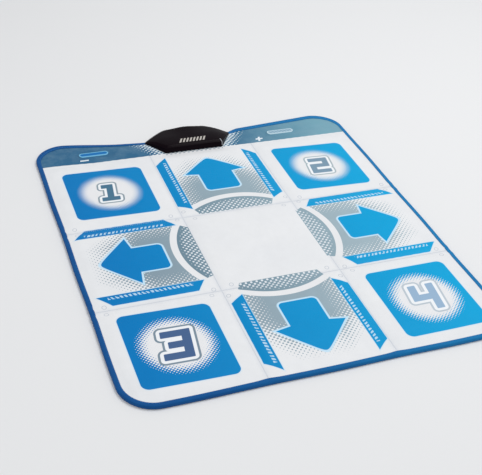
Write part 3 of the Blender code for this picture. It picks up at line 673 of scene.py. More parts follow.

# %% [markdown]
# ## The header strip
#
# Beyond the cells the cover is slate blue, with a painted sheen that turns it pale towards the right. Two
# small pill-shaped switches are printed on it, with a pale outline, and a minus and a plus below them. Pale
# dots fade away from both sides of the control box.

# %% Header print
HEADER_LINE, HEADER_RISE = 1.522, 0.016    # where the slate begins, and how it shifts at the left end
SIDE_NORMAL = (0.834, -0.552)       # out of the control box's slanted front sides
FRONT_HALF = 0.2815                 # half of its front edge, in cells
PILL_OUTLINE = 0.011
PILL_SHIFT, PILL_GROW = 0.004, 0.006       # the print lies a little off the switch, and is a little larger
HEADER_PITCH = 0.0300
DOTS_FROM, DOTS_TO = 0.015, 0.155          # the dots fade over this distance from the box
DOTS_INK, DOTS_GAIN = 0.36, 0.76
STRIPE_PITCH = 0.030
HEADER_CLOUD, HEADER_DOTS = srgb(138, 168, 184), srgb(222, 233, 238)
OUTLINE_LEFT, OUTLINE_RIGHT = srgb(116, 184, 220), srgb(188, 214, 224)
FILL_LEFT, FILL_DARK, FILL_LIGHT = srgb(28, 112, 178), srgb(116, 154, 178), srgb(166, 192, 206)
SIGN_WHITE = srgb(226, 234, 240)
SIGNS_Y, MINUS_X, PLUS_X = 1.572, 1.490, 0.212
SIGN_LEAN = -0.25
SIGN_CORNER = 0.003


def header_print():
    """Slate vinyl with the two switches."""
    paint = Paint("header_vinyl", Specular_IOR_Level=GLOSS)
    x, y = plan(paint)
    wavy = y + paint.noise(5.0, 1.0) * 0.02 - 0.01
    from_box = abs(x - BOX_X / PITCH)
    # Slate paling towards the right: painted sheen.
    slate = paint.mix(ramp(x, 0.2, 1.3), SLATE_LEFT, SLATE_RIGHT)
    slate = paint.mix(ramp(paint.noise(13.0, 4.0, 0.7), 0.45, 0.75) * 0.35, slate, HEADER_CLOUD)
    beside = (from_box - FRONT_HALF) * SIDE_NORMAL[0] + (y - HEADER_LINE) * SIDE_NORMAL[1]
    ink = DOTS_INK + ramp(beside, DOTS_FROM, DOTS_TO) * DOTS_GAIN
    pale_dots = 1 - halftone(x, y, HEADER_PITCH, ink)
    slate = paint.mix(pale_dots * 0.92, slate, HEADER_DOTS)
    line = ramp(-x, 1.0, 1.45) * HEADER_RISE + HEADER_LINE
    colour = paint.mix(inside(line - wavy, 0.006), cover_base(paint, x, y), slate)
    front = (abs(y - 1.505) - 0.030).most(from_box - FRONT_HALF)
    colour = paint.mix(inside(front) * halftone(x, y, HEADER_PITCH, 0.5) * 0.6, colour, LENS_LEFT)
    pill_x, pill_y = from_box - PILL_APART / PITCH, y - PILL_Y / PITCH + PILL_SHIFT
    half, round_r = (PILL_SPINE + PILL_R) / PITCH, PILL_R / PITCH + PILL_GROW
    pill = block(pill_x, pill_y, half, round_r, round_r)
    outline = paint.mix(inside(-x), OUTLINE_LEFT, OUTLINE_RIGHT)
    colour = paint.mix(inside(pill), colour, outline)
    stripes = ((x + y * 0.6) * (math.tau / STRIPE_PITCH)).cosine() * 0.5 + 0.5
    right_fill = paint.mix(stripes, FILL_DARK, FILL_LIGHT)
    fill = paint.mix(inside(-x), FILL_LEFT, right_fill)
    colour = paint.mix(inside(pill + PILL_OUTLINE), colour, fill)
    bar_x = x + y * SIGN_LEAN
    minus = block(bar_x + MINUS_X, y - SIGNS_Y, 0.039, 0.0115, SIGN_CORNER)
    level = block(bar_x - PLUS_X, y - SIGNS_Y, 0.036, 0.0100, SIGN_CORNER)
    upright = block(bar_x - PLUS_X, y - SIGNS_Y, 0.0100, 0.034, SIGN_CORNER)
    signs = minus.least(level).least(upright)
    colour = paint.mix(inside(signs), colour, SIGN_WHITE)
    return finish_vinyl(paint, colour)


print("dots beside the box every", round(HEADER_PITCH * PITCH * 1000, 1), "mm")

# %% [markdown]
# ### All the prints
#
# Each cell gets a material of its own, because a print that is written once and turned four ways would lose
# the small differences of the photograph. The numbers give a corner cell's middle, the half height of its
# square, the size of its sign, the sign's ink and rim, and how far the square leans.

# %% Prints
CORNER_PRINTS = {
    "near_left": corner_print("three", (-1.004, -0.990), 0.384, 1.0, (72, 100, 142), (124, 142, 156), 0.03),
    "near_right": corner_print("four", (1.002, -1.000), 0.384, 1.0, (152, 180, 206), (188, 198, 206)),
    "far_left": corner_print("one", (-0.996, 1.008), 0.360, 0.85, (74, 116, 142), (138, 154, 164), 0.03),
    "far_right": corner_print("two", (0.984, 0.982), 0.362, 0.84, (124, 152, 172), (168, 182, 188), 0.05),
}
PRINTS = {**CORNER_PRINTS, **{name: arrow_print(name) for name in ARROWS}}
CENTRE_PRINT = centre_print()
STRIP_PRINT = strip_print()
HEADER_PRINT = header_print()
print("prints", [material.name for material in PRINTS.values()])

# %% [markdown]
# ## The shape of the cover
#
# A sewn cover is low along its seams and under the binding, and full between them. One function gives its
# height at any point of the plan, so pieces that meet always meet at the same height. The seams are low,
# the pads are level, and small puckers run across each seam, as thread draws the foam in.

# %% Height of the cover
RIM_Z = 0.0074                      # top of the cover where it is sewn flat
LEVEL_Z = 0.00975                   # top of the cover where it is full
SWELL = 0.020                       # how far it takes to swell
CROWN = 0.0003
CROWN_RUN = 0.03
PUCKER = 0.00032
PUCKER_LENGTH, PUCKER_STRAY = 0.021, 3.0
PUCKER_START, PUCKER_RUN = 0.004, 0.012    # from the low line: where puckers are highest, and where they end
UNEVEN, UNEVEN_RUN = 0.00022, 0.02
FOLD_HALF = 0.006                   # half the width of the strips that bend at the fold lines
GROOVE = 0.0045                     # welded groove round a header switch
SHEET_T = 0.0010


def smooth(t):
    """0 to 1 with level ends."""
    t = min(max(t, 0.0), 1.0)
    return t * t * (3 - 2 * t)


def far_edge(x):
    """The far edge's y, which comes in towards the control box."""
    tip = BOX_HIGH.x if x > BOX_X else BOX_LOW.x
    side = SIDE if x > BOX_X else -SIDE
    share = (x - tip) / (side - tip)
    return DIP_Y + EDGE_DIP * min(max(share, 0.0), 1.0)


def corner_centre(side_x, side_y):
    """Where the arc that rounds one corner of the mat has its centre."""
    x = side_x * (SIDE - MAT_CORNER)
    return Vector((x, far_edge(x) - MAT_CORNER if side_y > 0 else NEAR + MAT_CORNER))


def from_edge(x, y):
    """How far a point of the plan lies inside the mat's edge."""
    in_x = SIDE - abs(x)
    in_y = (y - NEAR) if y < 0 else (far_edge(x) - y)
    if in_x < MAT_CORNER and in_y < MAT_CORNER:
        return MAT_CORNER - math.hypot(MAT_CORNER - in_x, MAT_CORNER - in_y)
    return min(in_x, in_y)


def from_pill(x, y):
    """How far a point lies from the nearer header switch's edge."""
    along = max(abs(abs(x - BOX_X) - PILL_APART) - PILL_SPINE, 0.0)
    return math.hypot(along, y - PILL_Y) - PILL_R


def cover_height(x, y):
    """Height of the cover's upper face."""
    seam = min(abs(y - line) for line in (-SEAM, SEAM, HEADER))
    if y < HEADER:
        seam = min(seam, abs(abs(x) - SEAM))
    low = min(seam, from_edge(x, y) - FLANGE, from_pill(x, y) - GROOVE)
    swell = smooth(low / SWELL)
    across = min(abs(abs(x) - SEAM), 1.0)
    run = y if across < seam + 1e-6 else x
    pucker = math.sin(run / PUCKER_LENGTH * math.tau + PUCKER_STRAY * noise.noise((x * 9, y * 9, 0.3)))
    window = smooth(low / PUCKER_START) * (1 - smooth((low - PUCKER_START) / PUCKER_RUN))
    wave = noise.noise((x * 14, y * 14, 5.1)) * UNEVEN * smooth((low - PUCKER_START) / UNEVEN_RUN)
    on_pad = min(PAD_HALF - abs(x - PITCH * round(x / PITCH)), PAD_HALF - abs(y - PITCH * round(y / PITCH)))
    crown = CROWN * smooth(on_pad / CROWN_RUN) if y < HEADER else 0.0
    return RIM_Z + (LEVEL_Z - RIM_Z) * swell + PUCKER * pucker * window + wave + crown


print("cover at a seam, a rim and a pad",
      [round(cover_height(*at), 4) for at in ((SEAM, 0.05), (SEAM / 2, NEAR + 0.02), (PITCH, 0.0))])

# %% [markdown]
# ## Turning a bmesh into a piece
#
# Each piece is drawn where it belongs, so its object stays at the origin. `finish_cover` keeps the plan as a
# UV map before the plan is pulled about, so that a print moves with its cloth. `settle` is that pull: the
# edge bulges out a little between the seams, and its upper side is drawn in where a seam meets it. Every soft
# piece goes through the same pull, so a cover and its tape can't come apart.

# %% The pull at the edge
DRIFT_RIGHT = (0.0130, 0.082, 0.046)    # how far the far edge stands out, where that begins, over which run
DRIFT_LEFT = (0.0115, 0.190, 0.150)
DRIFT_REACH, DRIFT_EASE = 0.022, 0.035
BULGE = 0.0014
PINCH = 0.0020
PINCH_WIDTH = 0.016
PINCH_Z, PINCH_RUN = 0.0055, 0.003  # only the upper side of the stack is drawn in
EDGE_REACH = 0.060
FOLD_EASE = 0.004


def settle(co):
    """Moves a point of a soft piece in the plan, near the mat's edge."""
    x, y, z = co
    pull = Vector((0.0, 0.0, 0.0))
    lift = smooth((z - PINCH_Z) / PINCH_RUN)
    near_x = 1 - smooth((SIDE - abs(x)) / EDGE_REACH)
    near_y = 1 - smooth((y - NEAR) / EDGE_REACH)
    if near_x > 0 and abs(y) < HEADER:
        out = BULGE * math.sin(math.pi * (y / PITCH + 0.5)) ** 2
        draw = PINCH * lift * sum(math.exp(-((y - s) / PINCH_WIDTH) ** 2) for s in (-SEAM, SEAM))
        fold = smooth((min(abs(y - SEAM), abs(y + SEAM)) - FOLD_HALF) / FOLD_EASE)
        pull.x = math.copysign(near_x * (out - draw * fold), x)
    if near_y > 0 and abs(x) < HEADER:
        out = BULGE * math.sin(math.pi * (x / PITCH + 0.5)) ** 2
        draw = PINCH * lift * sum(math.exp(-((x - s) / PINCH_WIDTH) ** 2) for s in (-SEAM, SEAM))
        pull.y = -near_y * (out - draw)
    if y > HEADER:
        drift, start, run = DRIFT_RIGHT if x > 0 else DRIFT_LEFT
        share = (1 - smooth(from_edge(x, y) / DRIFT_REACH)) * smooth((y - HEADER) / DRIFT_EASE)
        pull.y = drift * share * smooth((abs(x) - start) / run)
    return co + pull


print("the edge bulges by", BULGE, "m and is drawn in by", PINCH, "m")

# %% [markdown]
# ### From bmesh to object
#
# A bmesh becomes an object here, with its sharp edges marked by angle. A cover is only its upper face until a
# Solidify modifier gives it the thickness of a sheet. That keeps the mesh light, and its open borders stay
# where the next piece begins.

# %% Pieces
SHARP = math.radians(40)


def add_piece(name, bm, *materials, closed=True):
    """Links a bmesh as an object at the origin, shaded smooth."""
    if closed:
        bmesh.ops.recalc_face_normals(bm, faces=bm.faces)
    mesh = bpy.data.meshes.new(name)
    bm.to_mesh(mesh)
    bm.free()
    mesh.shade_smooth()
    mesh.set_sharp_from_angle(angle=SHARP)
    for material in materials:
        mesh.materials.append(material)
    made = bpy.data.objects.new(name, mesh)
    bpy.context.scene.collection.objects.link(made)
    return made


def copies(bm, verts, count, step=(0, 0, 0), centre=(0, 0, 0), angle=0.0):
    """Repeats a small closed shape along a line, or round a centre."""
    if count > 1:
        faces = {face for vertex in verts for face in vertex.link_faces}
        edges = {edge for vertex in verts for edge in vertex.link_edges}
        bmesh.ops.spin(bm, geom=[*verts, *edges, *faces], cent=centre, axis=(0, 0, 1), dvec=step,
                       angle=angle * (count - 1), steps=count - 1, use_duplicate=True)


def finish_cover(name, bm, material, height=cover_height):
    """A cover piece: heights, plan UV, the pull at the edge and the sheet's thickness."""
    uv = bm.loops.layers.uv.new("plan")
    for vertex in bm.verts:
        vertex.co.z = height(vertex.co.x, vertex.co.y)
    for face in bm.faces:
        face.material_index = 0
        for loop in face.loops:
            loop[uv].uv = (loop.vert.co.x / PITCH, loop.vert.co.y / PITCH)
    for vertex in bm.verts:
        vertex.co = settle(vertex.co)
    bm.normal_update()
    if sum(face.normal.z for face in bm.faces) < 0:
        bmesh.ops.reverse_faces(bm, faces=bm.faces)
    borders = [edge.index for edge in bm.edges if edge.is_boundary]
    made = add_piece(name, bm, material, closed=False)
    for index in borders:
        made.data.edges[index].use_edge_sharp = True
    sheet = made.modifiers.new("sheet", "SOLIDIFY")
    sheet.thickness = SHEET_T
    sheet.offset = -1.0
    return made


print("edges sharper than", round(math.degrees(SHARP)), "degrees stay sharp")

# %% [markdown]
# ## One cell
#
# A cell starts as the square grid of its pad. The grid's border is extruded outwards in rings until it
# reaches the seams, so rows of faces follow the seams and the pad's edge stays a clean loop. The pad and its
# surround are then parted: the pad rides on its step, and the surround stays on its row.

# %% Growing a cell from its pad
PAD_STEPS = 48
RINGS = 9
CORNER_CUTS = 9                     # the straight cuts that round a corner, and one more


def cell_border(column, row):
    """The rectangle that a cell's cover fills: to a seam, a fold strip or the binding."""
    edge = SIDE - STACK_INSET
    x = {-1: (-edge, -SEAM), 0: (-SEAM, SEAM), 1: (SEAM, edge)}[column]
    y = {-1: (NEAR + STACK_INSET, -SEAM - FOLD_HALF), 0: (-SEAM + FOLD_HALF, SEAM - FOLD_HALF),
         1: (SEAM + FOLD_HALF, HEADER)}[row]
    return x[0], x[1], y[0], y[1]


def stretch_to(bm, verts, old, new):
    """Moves vertices from the rectangle old to the rectangle new."""
    centre = Vector(((old[0] + old[1]) / 2, (old[2] + old[3]) / 2, 0))
    scale = ((new[1] - new[0]) / (old[1] - old[0]), (new[3] - new[2]) / (old[3] - old[2]), 1)
    bmesh.ops.scale(bm, vec=scale, space=Matrix.Translation(-centre), verts=verts)
    shift = Vector(((new[0] + new[1]) / 2, (new[2] + new[3]) / 2, 0)) - centre
    bmesh.ops.translate(bm, vec=shift, verts=verts)


def push_out(bm, edges):
    """Extrudes a loop of edges. Returns the new loop's vertices and its edges."""
    made = bmesh.ops.extrude_edge_only(bm, edges=edges)["geom"]
    verts = [item for item in made if isinstance(item, bmesh.types.BMVert)]
    found = set(verts)
    return verts, [item for item in made if isinstance(item, bmesh.types.BMEdge) and set(item.verts) <= found]


def grow_border(bm, rectangles):
    """Extrudes the open border outwards through a list of rectangles."""
    border = [edge for edge in bm.edges if edge.is_boundary]
    for old, new in zip(rectangles, rectangles[1:]):
        verts, border = push_out(bm, border)
        stretch_to(bm, verts, old, new)


def cut(bm, point, across, beyond=False):
    """Cuts every face along a line of the plan, and may take away what lies beyond it."""
    bmesh.ops.bisect_plane(bm, geom=bm.verts[:] + bm.edges[:] + bm.faces[:], plane_co=(*point, 0.0),
                           plane_no=(*across, 0.0), clear_outer=beyond)


def trim_far(bm, line, inset):
    """Takes away what lies beyond the far edge, which runs through two points from left to right."""
    start, end = Vector(line[0]), Vector(line[1])
    along = (end - start).normalized()
    outward = Vector((-along.y, along.x))
    cut(bm, start - outward * inset, outward, beyond=True)


def round_off(bm, side_x, side_y, inset=STACK_INSET):
    """Rounds one corner of the mat with a few straight cuts, which the binding hides."""
    for step in range(1, CORNER_CUTS):
        angle = math.pi / 2 * step / CORNER_CUTS
        outward = Vector((side_x * math.cos(angle), side_y * math.sin(angle)))
        cut(bm, corner_centre(side_x, side_y) + outward * (MAT_CORNER - inset), outward, beyond=True)


print("a pad has", PAD_STEPS, "faces along a side and", RINGS, "rings round it")

# %% [markdown]
# ### Drawing one cell
#
# Pad and surround come from one mesh, and the material index says which face belongs to which. They share
# the same border vertices, so they meet without a gap when they are parted.

# %% One cell's cover


def draw_cell(column, row):
    """A cell's cover as a bmesh. The pad's faces have material index 1."""
    bm = bmesh.new()
    bmesh.ops.create_grid(bm, x_segments=PAD_STEPS, y_segments=PAD_STEPS, size=PAD_HALF)
    at_x, at_y = column * PITCH, row * PITCH
    bmesh.ops.translate(bm, vec=(at_x, at_y, 0), verts=bm.verts)
    inner = (at_x - PAD_HALF, at_x + PAD_HALF, at_y - PAD_HALF, at_y + PAD_HALF)
    outer = cell_border(column, row)
    steps = [k / RINGS for k in range(RINGS + 1)]
    grow_border(bm, [tuple(a + (b - a) * t for a, b in zip(inner, outer)) for t in steps])
    for face in bm.faces:
        middle = face.calc_center_median()
        face.material_index = int(max(abs(middle.x - at_x), abs(middle.y - at_y)) < PAD_HALF)
    if column and row < 0:
        round_off(bm, column, row)
    return bm


def keep_faces(bm, index):
    """A copy of a bmesh with only the faces of one material index."""
    part = bm.copy()
    gone = [face for face in part.faces if face.material_index != index]
    bmesh.ops.delete(part, geom=gone, context="FACES")
    return part


print("the near left cell fills", [round(value, 3) for value in cell_border(-1, -1)])

# %% [markdown]
# ### All nine cells
#
# A pad rides on the body of its own step, so it sinks when its joint is pressed. Its surround stays on the
# row. The centre cell has no switch, and is one piece.

# %% Cells
ROW_BODIES = {-1: "near_row", 0: "middle_row", 1: "far_row"}
CELLS = {"near_left": (-1, -1), "near": (0, -1), "near_right": (1, -1), "left": (-1, 0), "right": (1, 0),
         "far_left": (-1, 1), "far": (0, 1), "far_right": (1, 1)}

for name, (column, row) in CELLS.items():
    cell = draw_cell(column, row)
    pad = finish_cover(f"step_pad_{name}", keep_faces(cell, 1), PRINTS[name])
    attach(pad, f"step_{name}")
    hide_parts(f"pad_{name}")
    surround = finish_cover(f"surround_{name}", keep_faces(cell, 0), PRINTS[name])
    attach(surround, ROW_BODIES[row])
    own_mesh(surround)
    cell.free()
centre_cover = finish_cover("centre_cover", draw_cell(0, 0), CENTRE_PRINT)
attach(centre_cover, "middle_row")
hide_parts("cover_middle")

# %% [markdown]
# ## The fold strips
#
# The cover bends at its two sewn lines. A narrow strip is drawn along each line, between the rows, and is
# attached to neither. Its faces line up with the cells on both sides.

# %% Fold strips
STRIP_STEPS = 6


def strip_grid(line_y):
    """A grid along a fold line, with the same steps across as the cells beside it."""
    bm = bmesh.new()
    for column in (-1, 0, 1):
        x0, x1, _, _ = cell_border(column, 0)
        made = bmesh.ops.create_grid(bm, x_segments=PAD_STEPS, y_segments=STRIP_STEPS, size=1.0)["verts"]
        stretch_to(bm, made, (-1, 1, -1, 1), (x0, x1, line_y - FOLD_HALF, line_y + FOLD_HALF))
    bmesh.ops.remove_doubles(bm, verts=bm.verts, dist=0.00001)
    return bm


def bend(piece, row):
    """Bakes the placement of a piece across a fold line into its mesh. The two rows' ends are listed, the
    nearer row first, but the piece follows neither row."""
    ends = sorted([(row * (SEAM - FOLD_HALF), "middle_row"), (row * (SEAM + FOLD_HALF), ROW_BODIES[row])])
    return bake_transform(piece)


for row, name in ((-1, "near"), (1, "far")):
    strip = finish_cover(f"fold_strip_{name}", strip_grid(row * SEAM), STRIP_PRINT)
    bend(strip, row)
print("fold strips", 2 * FOLD_HALF, "m wide")

# %% [markdown]
# ## The header's cover
#
# One grid spans the header. Three copies of it are cut, left of the control box, under it and right of it,
# because each has its own straight far edge. The copies share the grid's lines, so they merge into one sheet.

# %% Parts of the header
HEADER_STEPS = (150, 20)


def header_part(left, right, points):
    """The header's grid between two x's, cut at the far edge through two points."""
    bm = bmesh.new()
    bmesh.ops.create_grid(bm, x_segments=HEADER_STEPS[0], y_segments=HEADER_STEPS[1], size=1.0)
    edge = SIDE - STACK_INSET
    stretch_to(bm, bm.verts, (-1, 1, -1, 1), (-edge, edge, HEADER, FAR - STACK_INSET))
    cut(bm, (left, 0), (-1, 0), beyond=True)
    cut(bm, (right, 0), (1, 0), beyond=True)
    trim_far(bm, points, STACK_INSET)
    return bm


def merge(parts):
    """Joins several bmeshes and closes the seams between them."""
    joined = bmesh.new()
    for part in parts:
        mesh = bpy.data.meshes.new("part")
        part.to_mesh(mesh)
        part.free()
        joined.from_mesh(mesh)
        bpy.data.meshes.remove(mesh)
    bmesh.ops.remove_doubles(joined, verts=joined.verts, dist=0.00002)
    return joined


print("header grid", HEADER_STEPS)

# %% [markdown]
# ### Room for a switch
#
# A rectangular block of faces is opened round each switch. Rings of faces are then extruded inwards from its
# edge, each a little nearer to the switch's outline than the one before, until the last one is that outline.
# Bridging the block to the outline in one step takes less code, but its long thin faces crease where the
# sheet bends.

# %% Rings round a switch
BLOCK_X, BLOCK_Y = 0.0540, 0.0215   # half sizes of the block round a switch
BLOCK_RINGS = 6
BLOCK_REACH = 0.02                  # only faces this near to the block are cut
TOUCH = 1e-5
PILL_CENTRES = {"minus": BOX_X - PILL_APART, "plus": BOX_X + PILL_APART}


def cut_faces(bm, faces, point, across):
    """Cuts only some of the faces with a plane."""
    edges = {edge for face in faces for edge in face.edges}
    verts = {vertex for face in faces for vertex in face.verts}
    bmesh.ops.bisect_plane(bm, geom=[*verts, *edges, *faces], plane_co=point, plane_no=across)


def open_block(bm, x0, x1, y0, y1):
    """Cuts a rectangular hole."""
    for point, across in (((x0, 0, 0), (1, 0, 0)), ((x1, 0, 0), (1, 0, 0)),
                          ((0, y0, 0), (0, 1, 0)), ((0, y1, 0), (0, 1, 0))):
        reach = [f for f in bm.faces if x0 - BLOCK_REACH < f.calc_center_median().x < x1 + BLOCK_REACH
                 and y0 - BLOCK_REACH < f.calc_center_median().y < y1 + BLOCK_REACH]
        cut_faces(bm, reach, point, across)
    gone = [f for f in bm.faces if x0 < f.calc_center_median().x < x1 and y0 < f.calc_center_median().y < y1]
    bmesh.ops.delete(bm, geom=gone, context="FACES")


def widen(verts, centre_x, radius, share=1.0):
    """Moves vertices to a distance from a switch's spine, or a share of the way there."""
    for vertex in verts:
        spine_x = min(max(vertex.co.x, centre_x - PILL_SPINE), centre_x + PILL_SPINE)
        spine = Vector((spine_x, PILL_Y, vertex.co.z))
        out = vertex.co - spine
        vertex.co = spine + out.normalized() * (out.length + (radius - out.length) * share)


def extend(bm, edges, centre_x, steps):
    """Extrudes a loop round a switch through steps of distance and share, and returns its last edges."""
    for radius, share in steps:
        verts, edges = push_out(bm, edges)
        widen(verts, centre_x, radius, share)
    return edges


def groove_loop(bm, centre_x):
    """The loop that ends the header's cover at a switch, in a bmesh of its own."""
    loop = bm.copy()
    gone = [v for v in loop.verts if abs(v.co.x - centre_x) > BLOCK_X
            or abs(from_pill(v.co.x, v.co.y) - GROOVE) > TOUCH]
    bmesh.ops.delete(loop, geom=gone, context="VERTS")
    return loop


def pill_rings(loop, centre_x, radii):
    """Rings inside a switch's groove, and the last of them."""
    bm = loop.copy()
    widen(bm.verts, centre_x, radii[0])
    return bm, extend(bm, bm.edges[:], centre_x, [(radius, 1.0) for radius in radii[1:]])


print("switches at x", {name: round(x, 4) for name, x in PILL_CENTRES.items()})

# %% [markdown]
# ### The whole header
#
# The tray of the control box sits in a notch, so the mat and the box lie on the floor together. The notch is
# cut first, then the mat's far corners are rounded, and the switches come last. What ends the cover at a
# switch is kept as a loop, from which the switch's own pieces grow, so that they meet vertex by vertex.

# %% Header cover


def notch(bm):
    """Takes out the place of the control box's tray."""
    for point, across in (((BOX_X - NOTCH_HALF, 0), (1, 0)), ((BOX_X + NOTCH_HALF, 0), (1, 0)),
                          ((0, NOTCH_Y), (0, 1))):
        cut(bm, point, across)
    gone = []
    for face in bm.faces:
        middle = face.calc_center_median()
        if abs(middle.x - BOX_X) < NOTCH_HALF and middle.y > NOTCH_Y:
            gone.append(face)
    bmesh.ops.delete(bm, geom=gone, context="FACES")


header = merge([
    header_part(-SIDE, DIPS[0][0], [(-SIDE, FAR), DIPS[0]]),
    header_part(DIPS[0][0], DIPS[1][0], DIPS),
    header_part(DIPS[1][0], SIDE, [DIPS[1], (SIDE, FAR)]),
])
notch(header)
for side in (-1, 1):
    round_off(header, side, 1)
LOOPS = {}
for name, centre_x in PILL_CENTRES.items():
    open_block(header, centre_x - BLOCK_X, centre_x + BLOCK_X, PILL_Y - BLOCK_Y, PILL_Y + BLOCK_Y)
    around = [edge for edge in header.edges if edge.is_boundary
              and all(abs(v.co.x - centre_x) < BLOCK_X + TOUCH for v in edge.verts)
              and all(abs(v.co.y - PILL_Y) < BLOCK_Y + TOUCH for v in edge.verts)]
    extend(header, around, centre_x, [(PILL_R + GROOVE, 1 / left) for left in range(BLOCK_RINGS, 0, -1)])
    LOOPS[name] = groove_loop(header, centre_x)
header_cover = finish_cover("header_cover", header, HEADER_PRINT)
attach(header_cover, "far_row")
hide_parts("cover_far")
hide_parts("cover_near")
print("header faces", len(header_cover.data.polygons))

# %% [markdown]
# ## The two header switches
#
# Each switch is a low blister in a welded groove, and goes down with its key. The sloped collar round it
# stays on the cover. Rings that grow from an open loop don't know which way is up, so their normals are
# worked out before the sheet gets its thickness.

# %% Header switches
RAISED_Z = 0.0098                   # top of a switch, where its travel ends level with the groove
COLLAR_STEPS = 6
KEY_SHARES = (1.0, 0.93, 0.8, 0.6, 0.4, 0.2)
BLISTER_DOME = 0.0002


def blister_height(x, y):
    """Height of a switch and its collar."""
    out = from_pill(x, y)
    return RAISED_Z - (RAISED_Z - RIM_Z) * smooth(out / GROOVE) + BLISTER_DOME * smooth(-out / PILL_R)


for name, centre_x in PILL_CENTRES.items():
    collar_radii = [PILL_R + GROOVE * k / COLLAR_STEPS for k in range(COLLAR_STEPS, -1, -1)]
    collar, _ = pill_rings(LOOPS[name], centre_x, collar_radii)
    bmesh.ops.recalc_face_normals(collar, faces=collar.faces)
    piece = finish_cover(f"collar_{name}", collar, HEADER_PRINT, blister_height)
    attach(piece, "far_row")
    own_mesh(piece)
    key, last = pill_rings(LOOPS[name], centre_x, [PILL_R * k for k in KEY_SHARES])
    bmesh.ops.contextual_create(key, geom=last)
    bmesh.ops.recalc_face_normals(key, faces=key.faces)
    piece = finish_cover(f"key_panel_{name}", key, HEADER_PRINT, blister_height)
    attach(piece, f"key_{name}")
    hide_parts(f"switch_{name}")

# %% [markdown]
# ## A way round the edge
#
# The binding, its stitches and nothing else follow the mat's outline. `Track` walks along straight runs and
# rounded corners, anticlockwise, and gives a frame at each step: forward, inward and up. A section placed
# in these frames, one after the other, makes the swept tape.

# %% Track


class Track:
    """A line through corners that are rounded: (x, y, radius) each. The mat lies on its left."""

    def __init__(self, *corners, spacing=0.0054, turn=math.radians(7)):
        self.frames = []
        self.legs = []
        self.distance = 0.0
        points = [Vector(corner[:2]) for corner in corners]
        here = points[0]
        for k in range(1, len(points)):
            forward = (points[k] - points[k - 1]).normalized()
            last = k == len(points) - 1
            after = forward if last else (points[k + 1] - points[k]).normalized()
            angle = math.atan2(forward.cross(after), forward.dot(after))
            cut = 0.0 if last else corners[k][2] * math.tan(abs(angle) / 2)
            self.run(here, points[k] - forward * cut, spacing)
            if not last:
                here = self.bend(points[k] - forward * cut, forward, corners[k][2], angle, turn)

    def add(self, point, forward, ahead):
        self.distance += ahead
        inward = Vector((-forward.y, forward.x))
        axes = Matrix(((*forward, 0), (*inward, 0), (0, 0, 1))).transposed().to_4x4()
        self.frames.append((self.distance, Matrix.Translation((*point, 0)) @ axes))

    def run(self, start, end, spacing):
        steps = max(1, round((end - start).length / spacing))
        forward = (end - start).normalized()
        self.legs.append((start, forward, (end - start).length, None, 0.0))
        for step in range(0 if not self.frames else 1, steps + 1):
            ahead = (end - start).length / steps if step else 0.0
            self.add(start.lerp(end, step / steps), forward, ahead)

    def bend(self, start, forward, radius, angle, turn):
        """An arc from start. A positive angle turns left."""
        side = math.copysign(1.0, angle)
        centre = start + Vector((-forward.y, forward.x)) * radius * side
        steps = max(1, math.ceil(abs(angle) / turn))
        self.legs.append((start, forward, radius * abs(angle), centre, angle))
        for step in range(1, steps + 1):
            spin = Matrix.Rotation(angle * step / steps, 2)
            self.add(centre + spin @ (start - centre), spin @ forward, radius * abs(angle) / steps)
        return centre + Matrix.Rotation(angle, 2) @ (start - centre)


FOLD_Y = SEAM + FOLD_HALF
LEFT_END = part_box("binding_far_left")[1].x
RIGHT_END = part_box("binding_far_right")[0].x
DIP_ROUND = 0.060
TRACKS = {
    "near": Track((-SIDE, -FOLD_Y), (-SIDE, NEAR, MAT_CORNER), (SIDE, NEAR, MAT_CORNER), (SIDE, -FOLD_Y)),
    "right": Track((SIDE, -SEAM + FOLD_HALF), (SIDE, SEAM - FOLD_HALF)),
    "far_right": Track((SIDE, FOLD_Y), (SIDE, FAR, MAT_CORNER), (*DIPS[1], DIP_ROUND), (RIGHT_END, DIP_Y)),
    "far_left": Track((LEFT_END, DIP_Y), (*DIPS[0], DIP_ROUND), (-SIDE, FAR, MAT_CORNER), (-SIDE, FOLD_Y)),
    "left": Track((-SIDE, SEAM - FOLD_HALF), (-SIDE, -SEAM + FOLD_HALF)),
}
FOLD_TRACKS = {
    "near_left": Track((-SIDE, -SEAM + FOLD_HALF), (-SIDE, -FOLD_Y), spacing=0.0015),
    "near_right": Track((SIDE, -FOLD_Y), (SIDE, -SEAM + FOLD_HALF), spacing=0.0015),
    "far_left": Track((-SIDE, FOLD_Y), (-SIDE, SEAM - FOLD_HALF), spacing=0.0015),
    "far_right": Track((SIDE, SEAM - FOLD_HALF), (SIDE, FOLD_Y), spacing=0.0015),
}
print("binding lengths", {name: round(track.distance, 3) for name, track in TRACKS.items()})

# %% [markdown]
# ## The woven binding
#
# The tape is folded round the edge of the stack: a flange above, a flange below and a rounded wall. Its
# weave runs along it, so its UV map counts metres along the tape and across it. A picture of cloth would
# stretch at the corners. Cosines along the tape give ribs that turn with it.

# %% Tape and thread
TAPE_DARK = srgb(6, 52, 104)
RIB = 0.0011                        # spacing of the tape's ribs


